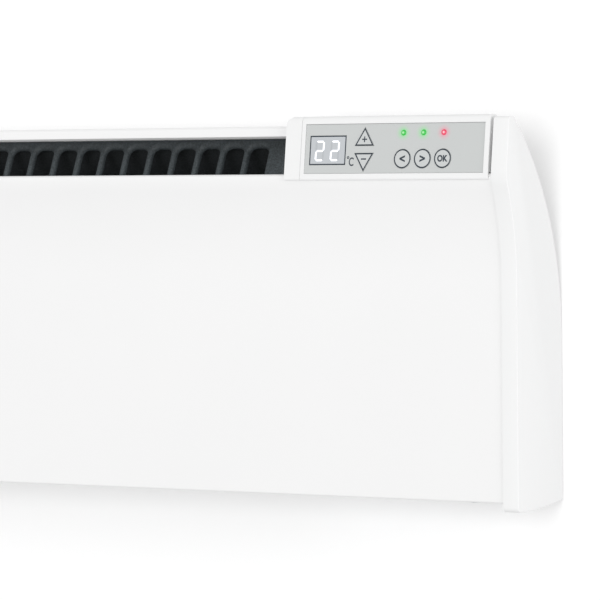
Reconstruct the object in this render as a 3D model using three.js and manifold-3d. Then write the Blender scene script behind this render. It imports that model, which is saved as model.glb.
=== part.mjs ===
// Wall panel convector heater on its wall bracket, with a plug-in thermostat cassette.
// Millimetres. +X runs along the heater to the right, +Y points into the wall, +Z is up.
// The origin is the centre of the bracket's wall face. Side outlines are drawn in (u, z), where
// u is the distance out from the wall and z the height above the lowest edge of the end caps.
import * as THREE from 'three';
import { mergeVertices } from 'three/addons/utils/BufferGeometryUtils.js';
import Module from 'manifold-3d';

const wasm = await Module();
wasm.setup();

// Driving dimensions
const heaterLength = 780;
const capWidth = 15.4;
const capHeight = 350;
const bracketHeight = 150;
const frontDepth = 83.5;
const frontBendRadius = 240;
const noseReach = 14.8;
const backBendRadius = 265;
const faceStand = 2.2;
const faceTiltDegrees = 7.2;
const wallGap = 0.5;
const gap = 0.3;
const clearance = 0.6;

// Sheet and moulding walls
const panelSheet = 1.0;
const steelSheet = 1.0;
const bracketSheet = 1.5;
const capWall = 2.4;
const mouldWall = 1.6;

// End cap
const capRise = 6;
const capEdgeRadius = 2.6;
const capEdgeDraw = 1.7;
const capFootRadius = 5;
const capCrownRound = 4.4;
const capCrownThickness = 12;
const capBossRadius = 4;
const screwRadius = 1.75;

// Front panel, back panel and the outlet between them
const panelInset = 1.2;
const panelBottom = 7.7;
const panelHem = 12;
const outletHeight = 49.8;
const noseDrop = 12.2;
const noseRise = 3.8;
const noseHemDepth = 5.6;
const backPlateDepth = 16;
const backPlateBottom = 9;
const backBlendRadius = 120;
const backSkinOffset = 3;
const lipDrop = 6.4;
const lipHeight = 10;
const lipReach = 6.1;
const grilleSheet = 1.2;
const outletSlotPitch = 26.8;
const outletSlotWidth = 21;
const outletSlotCorner = 7;
const outletTopMargin = 7;
const outletEndMargin = 26.5;

// Thermostat cassette, measured on its tilted face
const cassetteInset = 3.3;
const bezelWidth = 194.9;
const sideBlockWidth = 16.5;
const bezelDrop = 5.8;
const bezelBrow = 7.6;
const bezelMarginLeft = 3.9;
const bezelMarginRight = 4.8;
const bezelTopRadius = 6;
const bezelWall = 1.8;
const fasciaHeight = 45.1;
const fasciaSetback = 0.8;
const keyRadius = 8.5;
const keyPitch = 20.7;
const keyTravel = 0.5;

// Inside
const elementTube = 4.25;
const finPitch = 10;
const finThickness = 0.6;

// Places that follow from the driving dimensions
const bodyHalf = heaterLength / 2 - capWidth;
const panelEnd = bodyHalf - gap;
const panelTop = capHeight - outletHeight;
const lipTop = capHeight - lipDrop;
const noseStart = panelTop - noseDrop;
const noseEnd = panelTop + noseRise;
const crownStart = capHeight - capCrownRound;
const outletLow = panelTop - 3.2;
const sillHeight = backPlateBottom + 8;

// The line where the tilted face lies: distance from the wall at height z
const faceTilt = THREE.MathUtils.degToRad(faceTiltDegrees);
const faceDatum = panelTop + 2.6;
const faceAt = (z) => frontDepth + noseReach + faceStand - (z - faceDatum) * Math.tan(faceTilt);

// The bends start as far down as their radius needs to reach the nose and the crown
const bendRun = (radius, reach) => Math.sqrt(radius ** 2 - (radius - reach) ** 2);
const frontBendStart = noseStart - bendRun(frontBendRadius, noseReach);
const crownDepth = faceAt(capHeight) - capCrownThickness;
const backBendStart = crownStart - bendRun(backBendRadius, crownDepth - wallGap);

const finishes = {
  whiteSteel: { color: 0xf1f1f0, roughness: 0.42, metalness: 0.0 },
  whiteMould: { color: 0xf4f4f3, roughness: 0.36, metalness: 0.0 },
  greyFoil: { color: 0xc6c9c8, roughness: 0.45, metalness: 0.0 },
  darkSteel: { color: 0x34373a, roughness: 0.62, metalness: 0.2 },
  zincSteel: { color: 0xa9adb0, roughness: 0.38, metalness: 0.85 },
  aluminium: { color: 0xc2c5c7, roughness: 0.34, metalness: 0.9 },
  blackMould: { color: 0x1d1e20, roughness: 0.5, metalness: 0.0 },
  greyMould: { color: 0x8b8f92, roughness: 0.5, metalness: 0.0 },
  ceramic: { color: 0xe7e1d3, roughness: 0.6, metalness: 0.0 },
  board: { color: 0x1f5b3a, roughness: 0.5, metalness: 0.0 },
  displayFace: { color: 0xd3d2da, roughness: 0.3, metalness: 0.0 },
  greenLamp: { color: 0x49e05c, roughness: 0.2, metalness: 0.0 },
  redLamp: { color: 0xf0486e, roughness: 0.2, metalness: 0.0 },
  brownWire: { color: 0x6b3b22, roughness: 0.5, metalness: 0.0 },
  blueWire: { color: 0x2b56a0, roughness: 0.5, metalness: 0.0 },
  blackWire: { color: 0x202123, roughness: 0.5, metalness: 0.0 },
  rubber: { color: 0x2a2a2b, roughness: 0.85, metalness: 0.0 },
};

// Solids

function solidOf(geometry) {
  geometry.deleteAttribute('normal');
  geometry.deleteAttribute('uv');
  const merged = mergeVertices(geometry, 1e-4);
  return new wasm.Manifold(new wasm.Mesh({
    numProp: 3,
    vertProperties: new Float32Array(merged.attributes.position.array),
    triVerts: new Uint32Array(merged.index.array),
  }));
}

function geometryOf(solid) {
  const mesh = solid.getMesh();
  const geometry = new THREE.BufferGeometry();
  geometry.setAttribute('position', new THREE.BufferAttribute(mesh.vertProperties, 3));
  geometry.setIndex(new THREE.BufferAttribute(mesh.triVerts, 1));
  return geometry;
}

function joined(...parts) {
  return parts.reduce((whole, part) => whole.add(part));
}

function cut(body, ...tools) {
  return tools.reduce((rest, tool) => rest.subtract(tool), body);
}

// Turns a side outline in (u, z) so that it is drawn out along X and ends at x1
const alongX = (x1) => new THREE.Matrix4().set(
  0, 0, -1, x1,
  -1, 0, 0, 0,
  0, 1, 0, -bracketHeight,
  0, 0, 0, 1,
);

function shapeOf(points, holes = []) {
  const shape = new THREE.Shape(points);
  shape.holes = holes.map((hole) => new THREE.Path(hole));
  return shape;
}

function extrude(points, depth, holes = []) {
  return new THREE.ExtrudeGeometry(shapeOf(points, holes), { depth, bevelEnabled: false });
}

function profileX(points, x0, x1, holes = []) {
  return solidOf(extrude(points, x1 - x0, holes).applyMatrix4(alongX(x1)));
}

function boxAt([x0, x1], [u0, u1], [z0, z1]) {
  const box = new THREE.BoxGeometry(x1 - x0, u1 - u0, z1 - z0);
  return solidOf(box.translate((x0 + x1) / 2, -(u0 + u1) / 2, (z0 + z1) / 2 - bracketHeight));
}

function rodX(radius, [x0, x1], u, z, sides = 16) {
  const rod = new THREE.CylinderGeometry(radius, radius, x1 - x0, sides).rotateZ(Math.PI / 2);
  return solidOf(rod.translate((x0 + x1) / 2, -u, z - bracketHeight));
}

function rodZ(radius, x, u, [z0, z1], sides = 20) {
  const rod = new THREE.CylinderGeometry(radius, radius, z1 - z0, sides).rotateX(Math.PI / 2);
  return solidOf(rod.translate(x, -u, (z0 + z1) / 2 - bracketHeight));
}

function rodY(radius, x, [u0, u1], z, sides = 20) {
  const rod = new THREE.CylinderGeometry(radius, radius, u1 - u0, sides);
  return solidOf(rod.translate(x, -(u0 + u1) / 2, z - bracketHeight));
}

// Outlines

const at = (u, z) => new THREE.Vector2(u, z);

function tidied(points) {
  return points.filter((p, i) => p.distanceTo(points[(i + 1) % points.length]) > 0.02);
}

// Moves a closed outline inwards by a distance; the outline runs either way round
function inset(points, distance) {
  const side = THREE.ShapeUtils.isClockWise(points) ? -1 : 1;
  const moved = points.map((p, i) => {
    const before = points[(i + points.length - 1) % points.length];
    const after = points[(i + 1) % points.length];
    const a = p.clone().sub(before).normalize();
    const b = after.clone().sub(p).normalize();
    const normal = at(-(a.y + b.y), a.x + b.x).normalize();
    const stretch = Math.max(0.35, normal.dot(at(-a.y, a.x)));
    return p.clone().addScaledVector(normal, (side * distance) / stretch);
  });
  return tidied(moved);
}

// A sheet of one thickness that follows an open centre path, to the path's left
function sheetAlong(path, thickness) {
  const left = path.map((p, i) => {
    const before = path[Math.max(0, i - 1)];
    const after = path[Math.min(path.length - 1, i + 1)];
    const a = i > 0 ? p.clone().sub(before).normalize() : after.clone().sub(p).normalize();
    const b = i < path.length - 1 ? after.clone().sub(p).normalize() : a;
    const normal = at(-(a.y + b.y), a.x + b.x).normalize();
    return p.clone().addScaledVector(normal, thickness / Math.max(0.35, normal.dot(at(-a.y, a.x))));
  });
  return [...path, ...left.reverse()];
}

function roundedBox([x0, x1], [y0, y1], radius, steps = 4) {
  const corners = [[x1 - radius, y0 + radius], [x1 - radius, y1 - radius], [x0 + radius, y1 - radius],
    [x0 + radius, y0 + radius]];
  return corners.flatMap(([cx, cy], k) => Array.from({ length: steps + 1 }, (_, i) => {
    const angle = (k - 1 + i / steps) * (Math.PI / 2);
    return at(cx + radius * Math.cos(angle), cy + radius * Math.sin(angle));
  }));
}

// The bent front: straight up from the bottom, then an arc that sweeps forward
function frontCurve(offset, z) {
  const radius = frontBendRadius + offset;
  if (z <= frontBendStart) return frontDepth - offset;
  return frontDepth + frontBendRadius - Math.sqrt(radius ** 2 - (z - frontBendStart) ** 2);
}

// The bent back: straight up the wall, then an arc that sweeps forward to the top
function backCurve(offset, z) {
  if (z <= backBendStart) return wallGap + offset;
  return wallGap + backBendRadius - Math.sqrt((backBendRadius - offset) ** 2 - (z - backBendStart) ** 2);
}

function heights(from, to, steps) {
  return Array.from({ length: steps + 1 }, (_, i) => from + ((to - from) * i) / steps);
}

function bend(from, control, to, steps = 3) {
  return new THREE.QuadraticBezierCurve(from, control, to).getPoints(steps);
}

// The cap's side outline; without its rounded crown it is cut level where the rounding starts
function capOutline(crowned = true) {
  const topBack = at(crownDepth, crownStart);
  const topFront = at(faceAt(crownStart + 1), crownStart + 1);
  const brow = capHeight - crownStart;
  const crown = at(topFront.x - brow, capHeight);
  const footFront = frontDepth - capFootRadius;
  const soleRun = footFront - wallGap;
  const sole = heights(0, 1, 6).slice(1, -1).map((t) => at(footFront - soleRun * t, capRise * t * t));
  return tidied([
    at(wallGap, capRise),
    ...heights(backBendStart, crownStart, 12).map((z) => at(backCurve(0, z), z)),
    ...(crowned
      ? bend(topBack, at(topBack.x + brow * 0.4, capHeight), at(topBack.x + brow, capHeight), 3) : []),
    ...(crowned ? bend(crown, at(faceAt(capHeight), capHeight), topFront, 4) : [topFront]),
    ...bend(at(faceAt(noseEnd), noseEnd), at(faceAt((noseStart + noseEnd) / 2), (noseStart + noseEnd) / 2),
      at(frontCurve(0, noseStart), noseStart), 4),
    ...heights(noseStart, frontBendStart, 7).slice(1).map((z) => at(frontCurve(0, z), z)),
    ...bend(at(frontDepth, capFootRadius), at(frontDepth, 0), at(footFront, 0), 4),
    ...sole,
  ]);
}

// Outer face of the front panel, from its bottom hem up over the nose and down the inner hem
function panelPath() {
  const front = frontDepth - panelInset;
  const crown = at(noseTip.x - 3.3, panelTop);
  return tidied([
    at(front - panelHem, panelBottom),
    ...bend(at(front - 2, panelBottom), at(front, panelBottom), at(front, panelBottom + 2), 3),
    ...heights(frontBendStart, noseStart - 1, 8).map((z) => at(frontCurve(panelInset, z), z)),
    ...bend(noseRoot, at(noseTip.x + 1.2, panelTop - 5.7), noseTip, 3).slice(1),
    ...bend(noseTip, at(noseTip.x - 1.2, panelTop), crown, 3).slice(1),
    ...bend(crown, at(hemBack.x, panelTop), hemBack, 3).slice(1),
    at(hemBack.x, panelTop - panelHem),
  ]);
}

// Inner face of the back plate at an offset from the curved back, up to a height
function backPath(extra, top) {
  const flat = backPlateDepth + panelSheet + extra;
  const offset = backSkinOffset + panelSheet + extra;
  const centreU = wallGap + backBendRadius;
  const blendU = flat + backBlendRadius;
  const reach = backBendRadius - offset - backBlendRadius;
  const lift = Math.sqrt(reach ** 2 - (centreU - blendU) ** 2);
  const endAngle = Math.atan2(lift, blendU - centreU);
  const blend = heights(Math.PI, endAngle, 6).map((angle) => at(
    blendU + backBlendRadius * Math.cos(angle),
    backBendStart + lift + backBlendRadius * Math.sin(angle),
  ));
  const joint = blend[blend.length - 1].y;
  return [...blend, ...heights(joint, top, 8).slice(1).map((z) => at(backCurve(offset, z), z))];
}

// Everything between the back plate and the front panel, with a margin all round
function ductOutline(margin) {
  const back = backPath(margin, outletLow + 20);
  const frontOffset = panelInset + panelSheet + margin;
  return tidied([
    at(backPlateDepth + panelSheet + margin, sillHeight),
    ...back,
    at(hemBack.x - 10, outletLow - 2),
    at(hemBack.x - 2, outletLow - 10),
    ...heights(outletLow - 12, frontBendStart, 6).map((z) => at(frontCurve(frontOffset, z), z)),
    at(frontCurve(frontOffset, 0), sillHeight),
  ]);
}

// The front panel's nose: the end of its bend, its foremost point and the back of its hem
const noseRoot = at(frontCurve(panelInset, noseStart - 1), noseStart - 1);
const noseTip = at(noseRoot.x + 1.5, panelTop - 2.6);
const hemBack = at(noseTip.x - noseHemDepth, panelTop - 2.3);

// Where the pieces of the right end stand along the heater
const cassetteRight = bodyHalf - cassetteInset;
const bezelLeft = cassetteRight - bezelWidth;
const cassetteLeft = bezelLeft - gap - sideBlockWidth;
const bayLeft = cassetteLeft - 2;
const partitionX = bayLeft - 7;
const gableSetback = 1.3;
const lipEnd = cassetteLeft - clearance;
const grilleEnd = bayLeft - clearance - gap;

// Wall bracket

const railHeight = 80;
const railFlange = 9;
const armInset = 169.6;
const armWidth = 26;
const railOverhang = 25;
const lowHookRise = 61;
const highHookDrop = 8;
const hookRise = 12;
const hookReach = 22.5;
const hookBody = 8;
const hookNotch = 0.7;
const liftTravel = 14;
const wallScrewPlace = [150, 24];
const wallScrewSlot = [18, 5.4];

const armX = bodyHalf - armInset;
const railHalf = armX + railOverhang;
const backFlatTop = backPath(0, lipTop)[0].y;
const hookHeights = [backPlateBottom + lowHookRise, backFlatTop - highHookDrop];
const armBottom = hookHeights[0] - armWidth;
const armTop = hookHeights[1] + armWidth + 6;

function bracketRail() {
  const railLow = bracketHeight - railHeight / 2;
  const railHigh = bracketHeight + railHeight / 2;
  const web = boxAt([-railHalf, railHalf], [0, bracketSheet], [railLow, railHigh]);
  const flangeHalf = armX - armWidth / 2 - 2;
  const flanges = [railLow, railHigh - bracketSheet].map((z) => (
    boxAt([-flangeHalf, flangeHalf], [0, railFlange], [z, z + bracketSheet])));
  const slots = [-1, 1].flatMap((side) => [-1, 1].map((row) => {
    const [long, high] = wallScrewSlot.map((size) => size / 2);
    const centre = at(side * wallScrewPlace[0], row * wallScrewPlace[1]);
    const slot = roundedBox([-long, long], [-high, high], high - 0.05).map((p) => p.add(centre));
    const geometry = extrude(slot, bracketSheet * 4).rotateX(Math.PI / 2);
    return solidOf(geometry.translate(0, bracketSheet * 2, 0));
  }));
  return cut(joined(web, ...flanges), ...slots);
}

function bracketArm(side) {
  const base = [bracketSheet + gap, 2 * bracketSheet + gap];
  const wingX = side * (armX - armWidth / 2 + bracketSheet / 2);
  const plate = boxAt([side * armX - armWidth / 2, side * armX + armWidth / 2], base, [armBottom, armTop]);
  const plateBack = backPlateDepth - hookNotch;
  const plateFront = backPlateDepth + panelSheet + hookNotch;
  const hooks = hookHeights.flatMap((z) => [
    at(plateBack - 2, z - hookBody), at(hookReach, z - hookBody + 2), at(hookReach, z + hookRise - 2),
    at(hookReach - 1.5, z + hookRise), at(plateFront, z + hookRise), at(plateFront, z), at(plateBack, z),
    at(plateBack - 2, z + 3),
  ]);
  const outline = [at(base[0], armBottom), at(plateBack - 2, armBottom), ...hooks, at(plateBack - 2, armTop),
    at(base[0], armTop)];
  const wing = profileX(outline, wingX - bracketSheet / 2, wingX + bracketSheet / 2);
  return joined(plate, wing);
}

// Shell of the heater

function frontPanel() {
  return profileX(sheetAlong(panelPath(), panelSheet), -panelEnd, panelEnd);
}

function lipPath() {
  const root = backPath(0, lipTop - 2.6);
  const start = root[root.length - 1];
  const under = lipTop - panelSheet;
  const ridge = at(start.x + lipReach * 0.56, under);
  const tip = at(start.x + lipReach, start.y - 1.6);
  return [
    ...root,
    ...bend(start, at(start.x + lipReach * 0.36, under - 0.1), ridge, 3).slice(1),
    ...bend(ridge, at(tip.x, under), tip, 3).slice(1),
    at(tip.x, lipTop - lipHeight + 1),
  ];
}

function backPanel() {
  const path = [at(backPlateDepth + 13, backPlateBottom), at(backPlateDepth + panelSheet, backPlateBottom),
    ...lipPath()];
  const sheet = profileX(sheetAlong(tidied(path), panelSheet), -panelEnd, panelEnd);
  const notch = boxAt([lipEnd, heaterLength], [0, capHeight], [lipTop - lipHeight - 5, capHeight]);
  const slots = [-1, 1].flatMap((side) => hookHeights.map((z) => {
    const wingX = side * (armX - armWidth / 2 + bracketSheet / 2);
    const low = z - hookBody - liftTravel - 1;
    return boxAt([wingX - 2.4, wingX + 2.4], [backPlateDepth - 3, backPlateDepth + 4], [low, z + gap]);
  }));
  return cut(sheet, notch, ...slots);
}

const capBosses = [[frontDepth - 33.5, backPlateBottom + 46], [frontDepth - 21.5, panelTop - 50.2]];

function capShell() {
  const level = capOutline(false);
  const rounded = new THREE.ExtrudeGeometry(shapeOf(capOutline()), {
    depth: capWidth - capEdgeRadius,
    bevelEnabled: true,
    bevelThickness: capEdgeRadius,
    bevelSize: capEdgeDraw,
    bevelOffset: -capEdgeDraw,
    bevelSegments: 3,
  });
  const outerFace = bodyHalf + capWidth;
  const block = solidOf(rounded.applyMatrix4(alongX(outerFace - capEdgeRadius)));
  const trimmed = cut(block, boxAt([bodyHalf - 20, bodyHalf], [-20, 200], [-20, capHeight + 20]));
  const floor = outerFace - capWall;
  const hollow = profileX(inset(level, capWall), bodyHalf - 1, floor);
  const bosses = capBosses.map(([u, z]) => rodX(capBossRadius, [bodyHalf + gap, floor + 1], u, z));
  const pilots = capBosses.map(([u, z]) => rodX(screwRadius + 0.15, [bodyHalf - 1, floor - 0.6], u, z, 12));
  const webs = capBosses.map(([, z]) => boxAt([bodyHalf + 4, floor + 1], [-5, 110], [z - 0.8, z + 0.8]));
  const kept = joined(...webs).intersect(profileX(inset(level, capWall - 0.6), bodyHalf, floor + 1));
  return cut(joined(cut(trimmed, hollow), ...bosses, kept), ...pilots);
}

function ductPlate(x0) {
  return profileX(ductOutline(clearance), x0, x0 + steelSheet);
}

function gable() {
  const x0 = panelEnd - gableSetback;
  const holes = capBosses.map(([u, z]) => rodX(screwRadius + 0.15, [x0 - 1, x0 + 3], u, z, 12));
  return cut(ductPlate(x0), ...holes);
}

function prismY(points, [u0, u1]) {
  const prism = extrude(points, u1 - u0).translate(0, 0, u0).rotateX(Math.PI / 2);
  return solidOf(prism.translate(0, 0, -bracketHeight));
}

function prismZ(points, [z0, z1]) {
  return solidOf(extrude(points, z1 - z0).translate(0, 0, z0 - bracketHeight));
}

const grilleHigh = lipTop - lipHeight - 1.2;
const grilleFoot = at(hemBack.x - gap, outletLow - 1);
const grilleRest = backCurve(backSkinOffset + panelSheet, grilleHigh) + gap;
const grilleHead = at(grilleRest + 1.04 * grilleSheet, grilleHigh);

const slotHalf = outletSlotWidth / 2;
const firstSlot = grilleEnd - outletEndMargin - slotHalf;
const slotRoom = firstSlot - slotHalf + panelEnd - outletSlotCorner;
const slotCount = Math.floor(slotRoom / outletSlotPitch) + 1;
const grilleSeam = firstSlot - (Math.ceil(slotCount / 2) - 0.5) * outletSlotPitch;

function outletSlot() {
  const high = grilleHigh - outletTopMargin;
  const shoulder = high - outletSlotCorner;
  const low = outletLow + 1.4;
  return tidied([
    at(slotHalf, low),
    ...bend(at(slotHalf, shoulder), at(slotHalf, high), at(slotHalf - outletSlotCorner, high), 4),
    ...bend(at(outletSlotCorner - slotHalf, high), at(-slotHalf, high), at(-slotHalf, shoulder), 4),
    at(-slotHalf, low),
  ]);
}

function outletGrille(left, right) {
  const path = [at(grilleFoot.x - 8, grilleFoot.y), grilleFoot, grilleHead];
  const sheet = profileX(sheetAlong(path, grilleSheet), left, right);
  const through = [grilleHead.x - 9, grilleFoot.x + 7];
  const centres = Array.from({ length: slotCount }, (_, i) => firstSlot - i * outletSlotPitch);
  const slots = centres.filter((x) => x > left && x < right).map((x) => (
    prismY(outletSlot().map((p) => p.add(at(x, 0))), through)));
  return cut(sheet, ...slots);
}

function innerDeflector() {
  const skin = 0.8;
  const hookTop = Math.max(...hookHeights) + hookRise + 2;
  const path = backPath(gap + skin, grilleHigh - 3).filter((p) => p.y > hookTop);
  return profileX(sheetAlong(path, skin), -panelEnd + 2, partitionX - 1);
}

const intakeDepth = [backPlateDepth + panelSheet + 1, frontDepth - panelInset - panelSheet - 1];
const sheetFloor = Math.max(backPlateBottom, panelBottom + panelSheet) + gap;

function intakeGrille() {
  const [near, far] = intakeDepth;
  const left = -panelEnd + 3;
  const right = partitionX - 1;
  const sheet = boxAt([left, right], [near, far], [sheetFloor, sheetFloor + steelSheet]);
  const slotPitch = 18;
  const slotWidth = 11;
  const count = Math.floor((right - left - 16) / slotPitch);
  const start = (left + right - (count - 1) * slotPitch) / 2;
  const slots = Array.from({ length: count }, (_, i) => {
    const x = start + i * slotPitch;
    const outline = roundedBox([x - slotWidth / 2, x + slotWidth / 2], [-far + 8, -near - 8], 5, 1);
    return prismZ(outline, [sheetFloor - 2, sheetFloor + 4]);
  });
  return cut(sheet, ...slots);
}

const elementAxis = [frontDepth - 33.5, 100];
const finHalfDepth = 20;
const finHalfHeight = 27;
const finCorner = 6;
const bushX = [-panelEnd + 24, partitionX - 22];
const terminalReach = 18;

function partition() {
  const hole = rodX(elementTube + 4, [partitionX - 2, partitionX + 4], ...elementAxis);
  return cut(ductPlate(partitionX), hole);
}

function finnedElement() {
  const [u, z] = elementAxis;
  const tube = rodX(elementTube, [bushX[0] - 8, partitionX + terminalReach], u, z, 10);
  const from = bushX[0] + 14;
  const to = bushX[1] - 14;
  const count = Math.floor((to - from) / finPitch);
  const fin = roundedBox([u - finHalfDepth, u + finHalfDepth], [z - finHalfHeight, z + finHalfHeight],
    finCorner, 1);
  const fins = Array.from({ length: count }, (_, i) => (
    profileX(fin, from + i * finPitch, from + i * finPitch + finThickness)));
  return joined(tube, ...fins);
}

const hangerHeight = 28;
const hangerSheet = 1.2;
const bushNeck = elementTube + 2.6;
const bushShoulder = elementTube + 5;

function elementHanger(x) {
  const [u, z] = elementAxis;
  const foot = backPlateDepth + panelSheet + gap;
  const half = hangerHeight / 2;
  const arm = profileX([at(foot, z - half), at(u + 6, z - half), at(u + 13, z - 6), at(u + 13, z + 6),
    at(u + 6, z + half), at(foot, z + half)], x - hangerSheet / 2, x + hangerSheet / 2);
  const base = boxAt([x - half, x + hangerSheet / 2], [foot, foot + hangerSheet], [z - half, z + half]);
  return cut(joined(arm, base), rodX(bushNeck + gap, [x - 3, x + 3], u, z));
}

function elementBush(x) {
  const body = rodX(bushNeck, [x - 3.5, x + 4], ...elementAxis);
  const shoulder = rodX(bushShoulder, [x + hangerSheet / 2 + gap, x + 3.4], ...elementAxis);
  return cut(joined(body, shoulder), rodX(elementTube + gap, [x - 5, x + 5], ...elementAxis));
}

const cutoutPlace = [-60, hookHeights[1] - 16];
const plateFace = backPlateDepth + panelSheet;

function cutoutClip() {
  const [x, z] = cutoutPlace;
  const strip = boxAt([x - 20, x + 20], [plateFace + gap, plateFace + gap + 1], [z - 6, z + 6]);
  return cut(strip, ...[-15, 15].map((dx) => rodY(1.8, x + dx, [plateFace - 1, plateFace + 4], z, 12)));
}

function thermalCutout() {
  const [x, z] = cutoutPlace;
  const back = plateFace + 2 * gap + 1;
  const can = rodY(8, x, [back, back + 7], z, 24);
  const rim = rodY(9.4, x, [back, back + 1.6], z, 24);
  const tabs = [-5, 5].map((dx) => (
    boxAt([x + dx - 1.6, x + dx + 1.6], [back + 6, back + 14], [z - 0.5, z + 0.5])));
  return joined(can, rim, ...tabs);
}

const terminalPitch = 16;
const terminalInset = 111.4;
const terminalX = [0, 3 * terminalPitch].map((x) => partitionX + terminalInset + x);
const terminalTop = 82;

function terminalBlock() {
  const block = boxAt(terminalX, [plateFace + gap, plateFace + 19], [terminalTop - 22, terminalTop]);
  const ways = [0, 1, 2].map((i) => terminalX[0] + (i + 0.5) * terminalPitch);
  const mouths = ways.map((x) => rodZ(2.6, x, plateFace + 9, [terminalTop - 9, terminalTop + 2], 12));
  const wells = ways.map((x) => rodY(2.8, x, [plateFace + 14, plateFace + 22], terminalTop - 12, 12));
  const steps = ways.slice(1).map((x) => boxAt([x - 9, x - 7], [plateFace + 12, plateFace + 22],
    [terminalTop - 24, terminalTop + 2]));
  return cut(block, ...mouths, ...wells, ...steps);
}

const glandPlace = [panelEnd - 44.3, backPlateDepth + 30];
const glandBore = 4.5;
const glandThread = 8;
const glandHead = 3.8;

function serviceCover() {
  const [near, far] = intakeDepth;
  const right = panelEnd - 3;
  const sheet = boxAt([partitionX + 2, right], [near, far], [sheetFloor, sheetFloor + steelSheet]);
  const lips = [near, far - steelSheet].map((u) => (
    boxAt([partitionX + 2, right], [u, u + steelSheet], [sheetFloor, sheetFloor + 7])));
  return cut(joined(sheet, ...lips), rodZ(glandThread + gap, ...glandPlace, [0, 30], 24));
}

function cableGland() {
  const headTop = sheetFloor - gap;
  const head = rodZ(glandThread + 4, ...glandPlace, [headTop - glandHead, headTop], 6);
  const thread = rodZ(glandThread, ...glandPlace, [sheetFloor - 1, sheetFloor + 12], 24);
  return cut(joined(head, thread), rodZ(glandBore, ...glandPlace, [0, 40], 24));
}

function glandNut() {
  const foot = sheetFloor + steelSheet + gap;
  const nut = rodZ(glandThread + 4.5, ...glandPlace, [foot, foot + 5], 6);
  return cut(nut, rodZ(glandThread + gap, ...glandPlace, [0, 40], 24));
}

function roomSensor() {
  const foot = sheetFloor + steelSheet + gap;
  const place = [partitionX + 45.4, frontDepth - 25.5];
  return joined(rodZ(2.2, ...place, [foot, foot + 22], 16), rodZ(4, ...place, [foot, foot + 2], 16));
}

function wallBuffer(side) {
  return rodY(8, side * (panelEnd - 74.3), [1, backPlateDepth - gap], backPlateBottom + 25, 20);
}

function capScrew([u, z]) {
  const plate = panelEnd - gableSetback;
  const shank = rodX(screwRadius - 0.2, [plate - 1, bodyHalf + 9], u, z, 12);
  return joined(shank, rodX(3.4, [plate - 2.4, plate - gap], u, z, 16));
}

// Mirrors a piece from the right end of the heater to the left
function mirrored(geometry) {
  const twin = geometry.clone().scale(-1, 1, 1);
  const index = twin.index.array;
  for (let i = 0; i < index.length; i += 3) [index[i + 1], index[i + 2]] = [index[i + 2], index[i + 1]];
  return twin;
}

function wire(points, radius) {
  const stops = points.map(([x, u, z]) => new THREE.Vector3(x, -u, z - bracketHeight));
  const route = new THREE.CatmullRomCurve3(stops);
  const section = Array.from({ length: 6 }, (_, i) => (
    at(radius * Math.cos((i * Math.PI) / 3), radius * Math.sin((i * Math.PI) / 3))));
  return new THREE.ExtrudeGeometry(shapeOf(section), { steps: 22, bevelEnabled: false, extrudePath: route });
}

// Cassette bay, fixed in the right end of the outlet

const fasciaPlaneBack = 0.98;
const fasciaAt = (z) => faceAt(z) - fasciaPlaneBack;
const bayFloor = panelTop + clearance + mouldWall;
const bayHigh = panelTop + 26.8;
const bayCheek = 1.0;
const socketInset = 93.3;
const socketWidth = 40;
const socketX = [cassetteRight - socketInset - socketWidth, cassetteRight - socketInset];
const socketTop = bayFloor + 7.5;
const socketTail = 6;
const bayWallOffset = backSkinOffset + panelSheet + clearance + mouldWall;
const socketNear = backCurve(bayWallOffset, socketTop) + 1.4;
const socketDepth = [socketNear, socketNear + 6.5];
const housingBack = socketDepth[1] + 7.3;
const housingWall = 1.8;
const housingSkin = 1.5;
const housingShelf = 3.4;
const faceFoot = panelTop + 0.2;
const housingTop = faceFoot + (fasciaHeight - 2.1) * Math.cos(faceTilt);

function cassetteBay() {
  const wall = heights(bayFloor, bayHigh, 6).map((z) => at(backCurve(bayWallOffset, z), z));
  const right = panelEnd - gableSetback - gap;
  const trayFront = hemBack.x - 2.6;
  const tray = profileX(sheetAlong([at(trayFront, bayFloor), ...wall], mouldWall), bayLeft, right);
  const sideOutline = [at(trayFront, bayFloor - mouldWall), ...wall.map((p) => at(p.x - mouldWall / 2, p.y)),
    at(fasciaAt(bayHigh) - 8, bayHigh)];
  const cheeks = [bayLeft, right - bayCheek].map((x) => profileX(sideOutline, x, x + bayCheek));
  const [near, far] = socketDepth;
  const window = boxAt([socketX[0] - gap, socketX[1] + gap], [near - gap, far + gap],
    [bayFloor - 5, bayFloor + 1]);
  return cut(joined(tray, ...cheeks), window);
}

const pinReach = 4;
const pinHalf = 0.8;
const pinPitch = (socketX[1] - socketX[0]) / 4;
const pinXs = [0.5, 1.5, 2.5, 3.5].map((i) => socketX[0] + i * pinPitch);
const pinZ = bayFloor + 5;

function baySocket() {
  const block = boxAt(socketX, socketDepth, [bayFloor - socketTail, socketTop]);
  const hole = pinHalf + gap;
  const holes = pinXs.map((x) => boxAt([x - hole, x + hole],
    [socketDepth[1] - pinReach - 1, socketDepth[1] + 1], [pinZ - hole, pinZ + hole]));
  return cut(block, ...holes);
}

function plugConnector() {
  const front = socketDepth[1] + gap;
  const block = boxAt([socketX[0] + 1, socketX[1] - 1], [front, housingBack - gap],
    [bayFloor + 1.2, socketTop]);
  const pins = pinXs.map((x) => boxAt([x - pinHalf, x + pinHalf], [front - pinReach, front + 1],
    [pinZ - pinHalf, pinZ + pinHalf]));
  return joined(block, ...pins);
}

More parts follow.
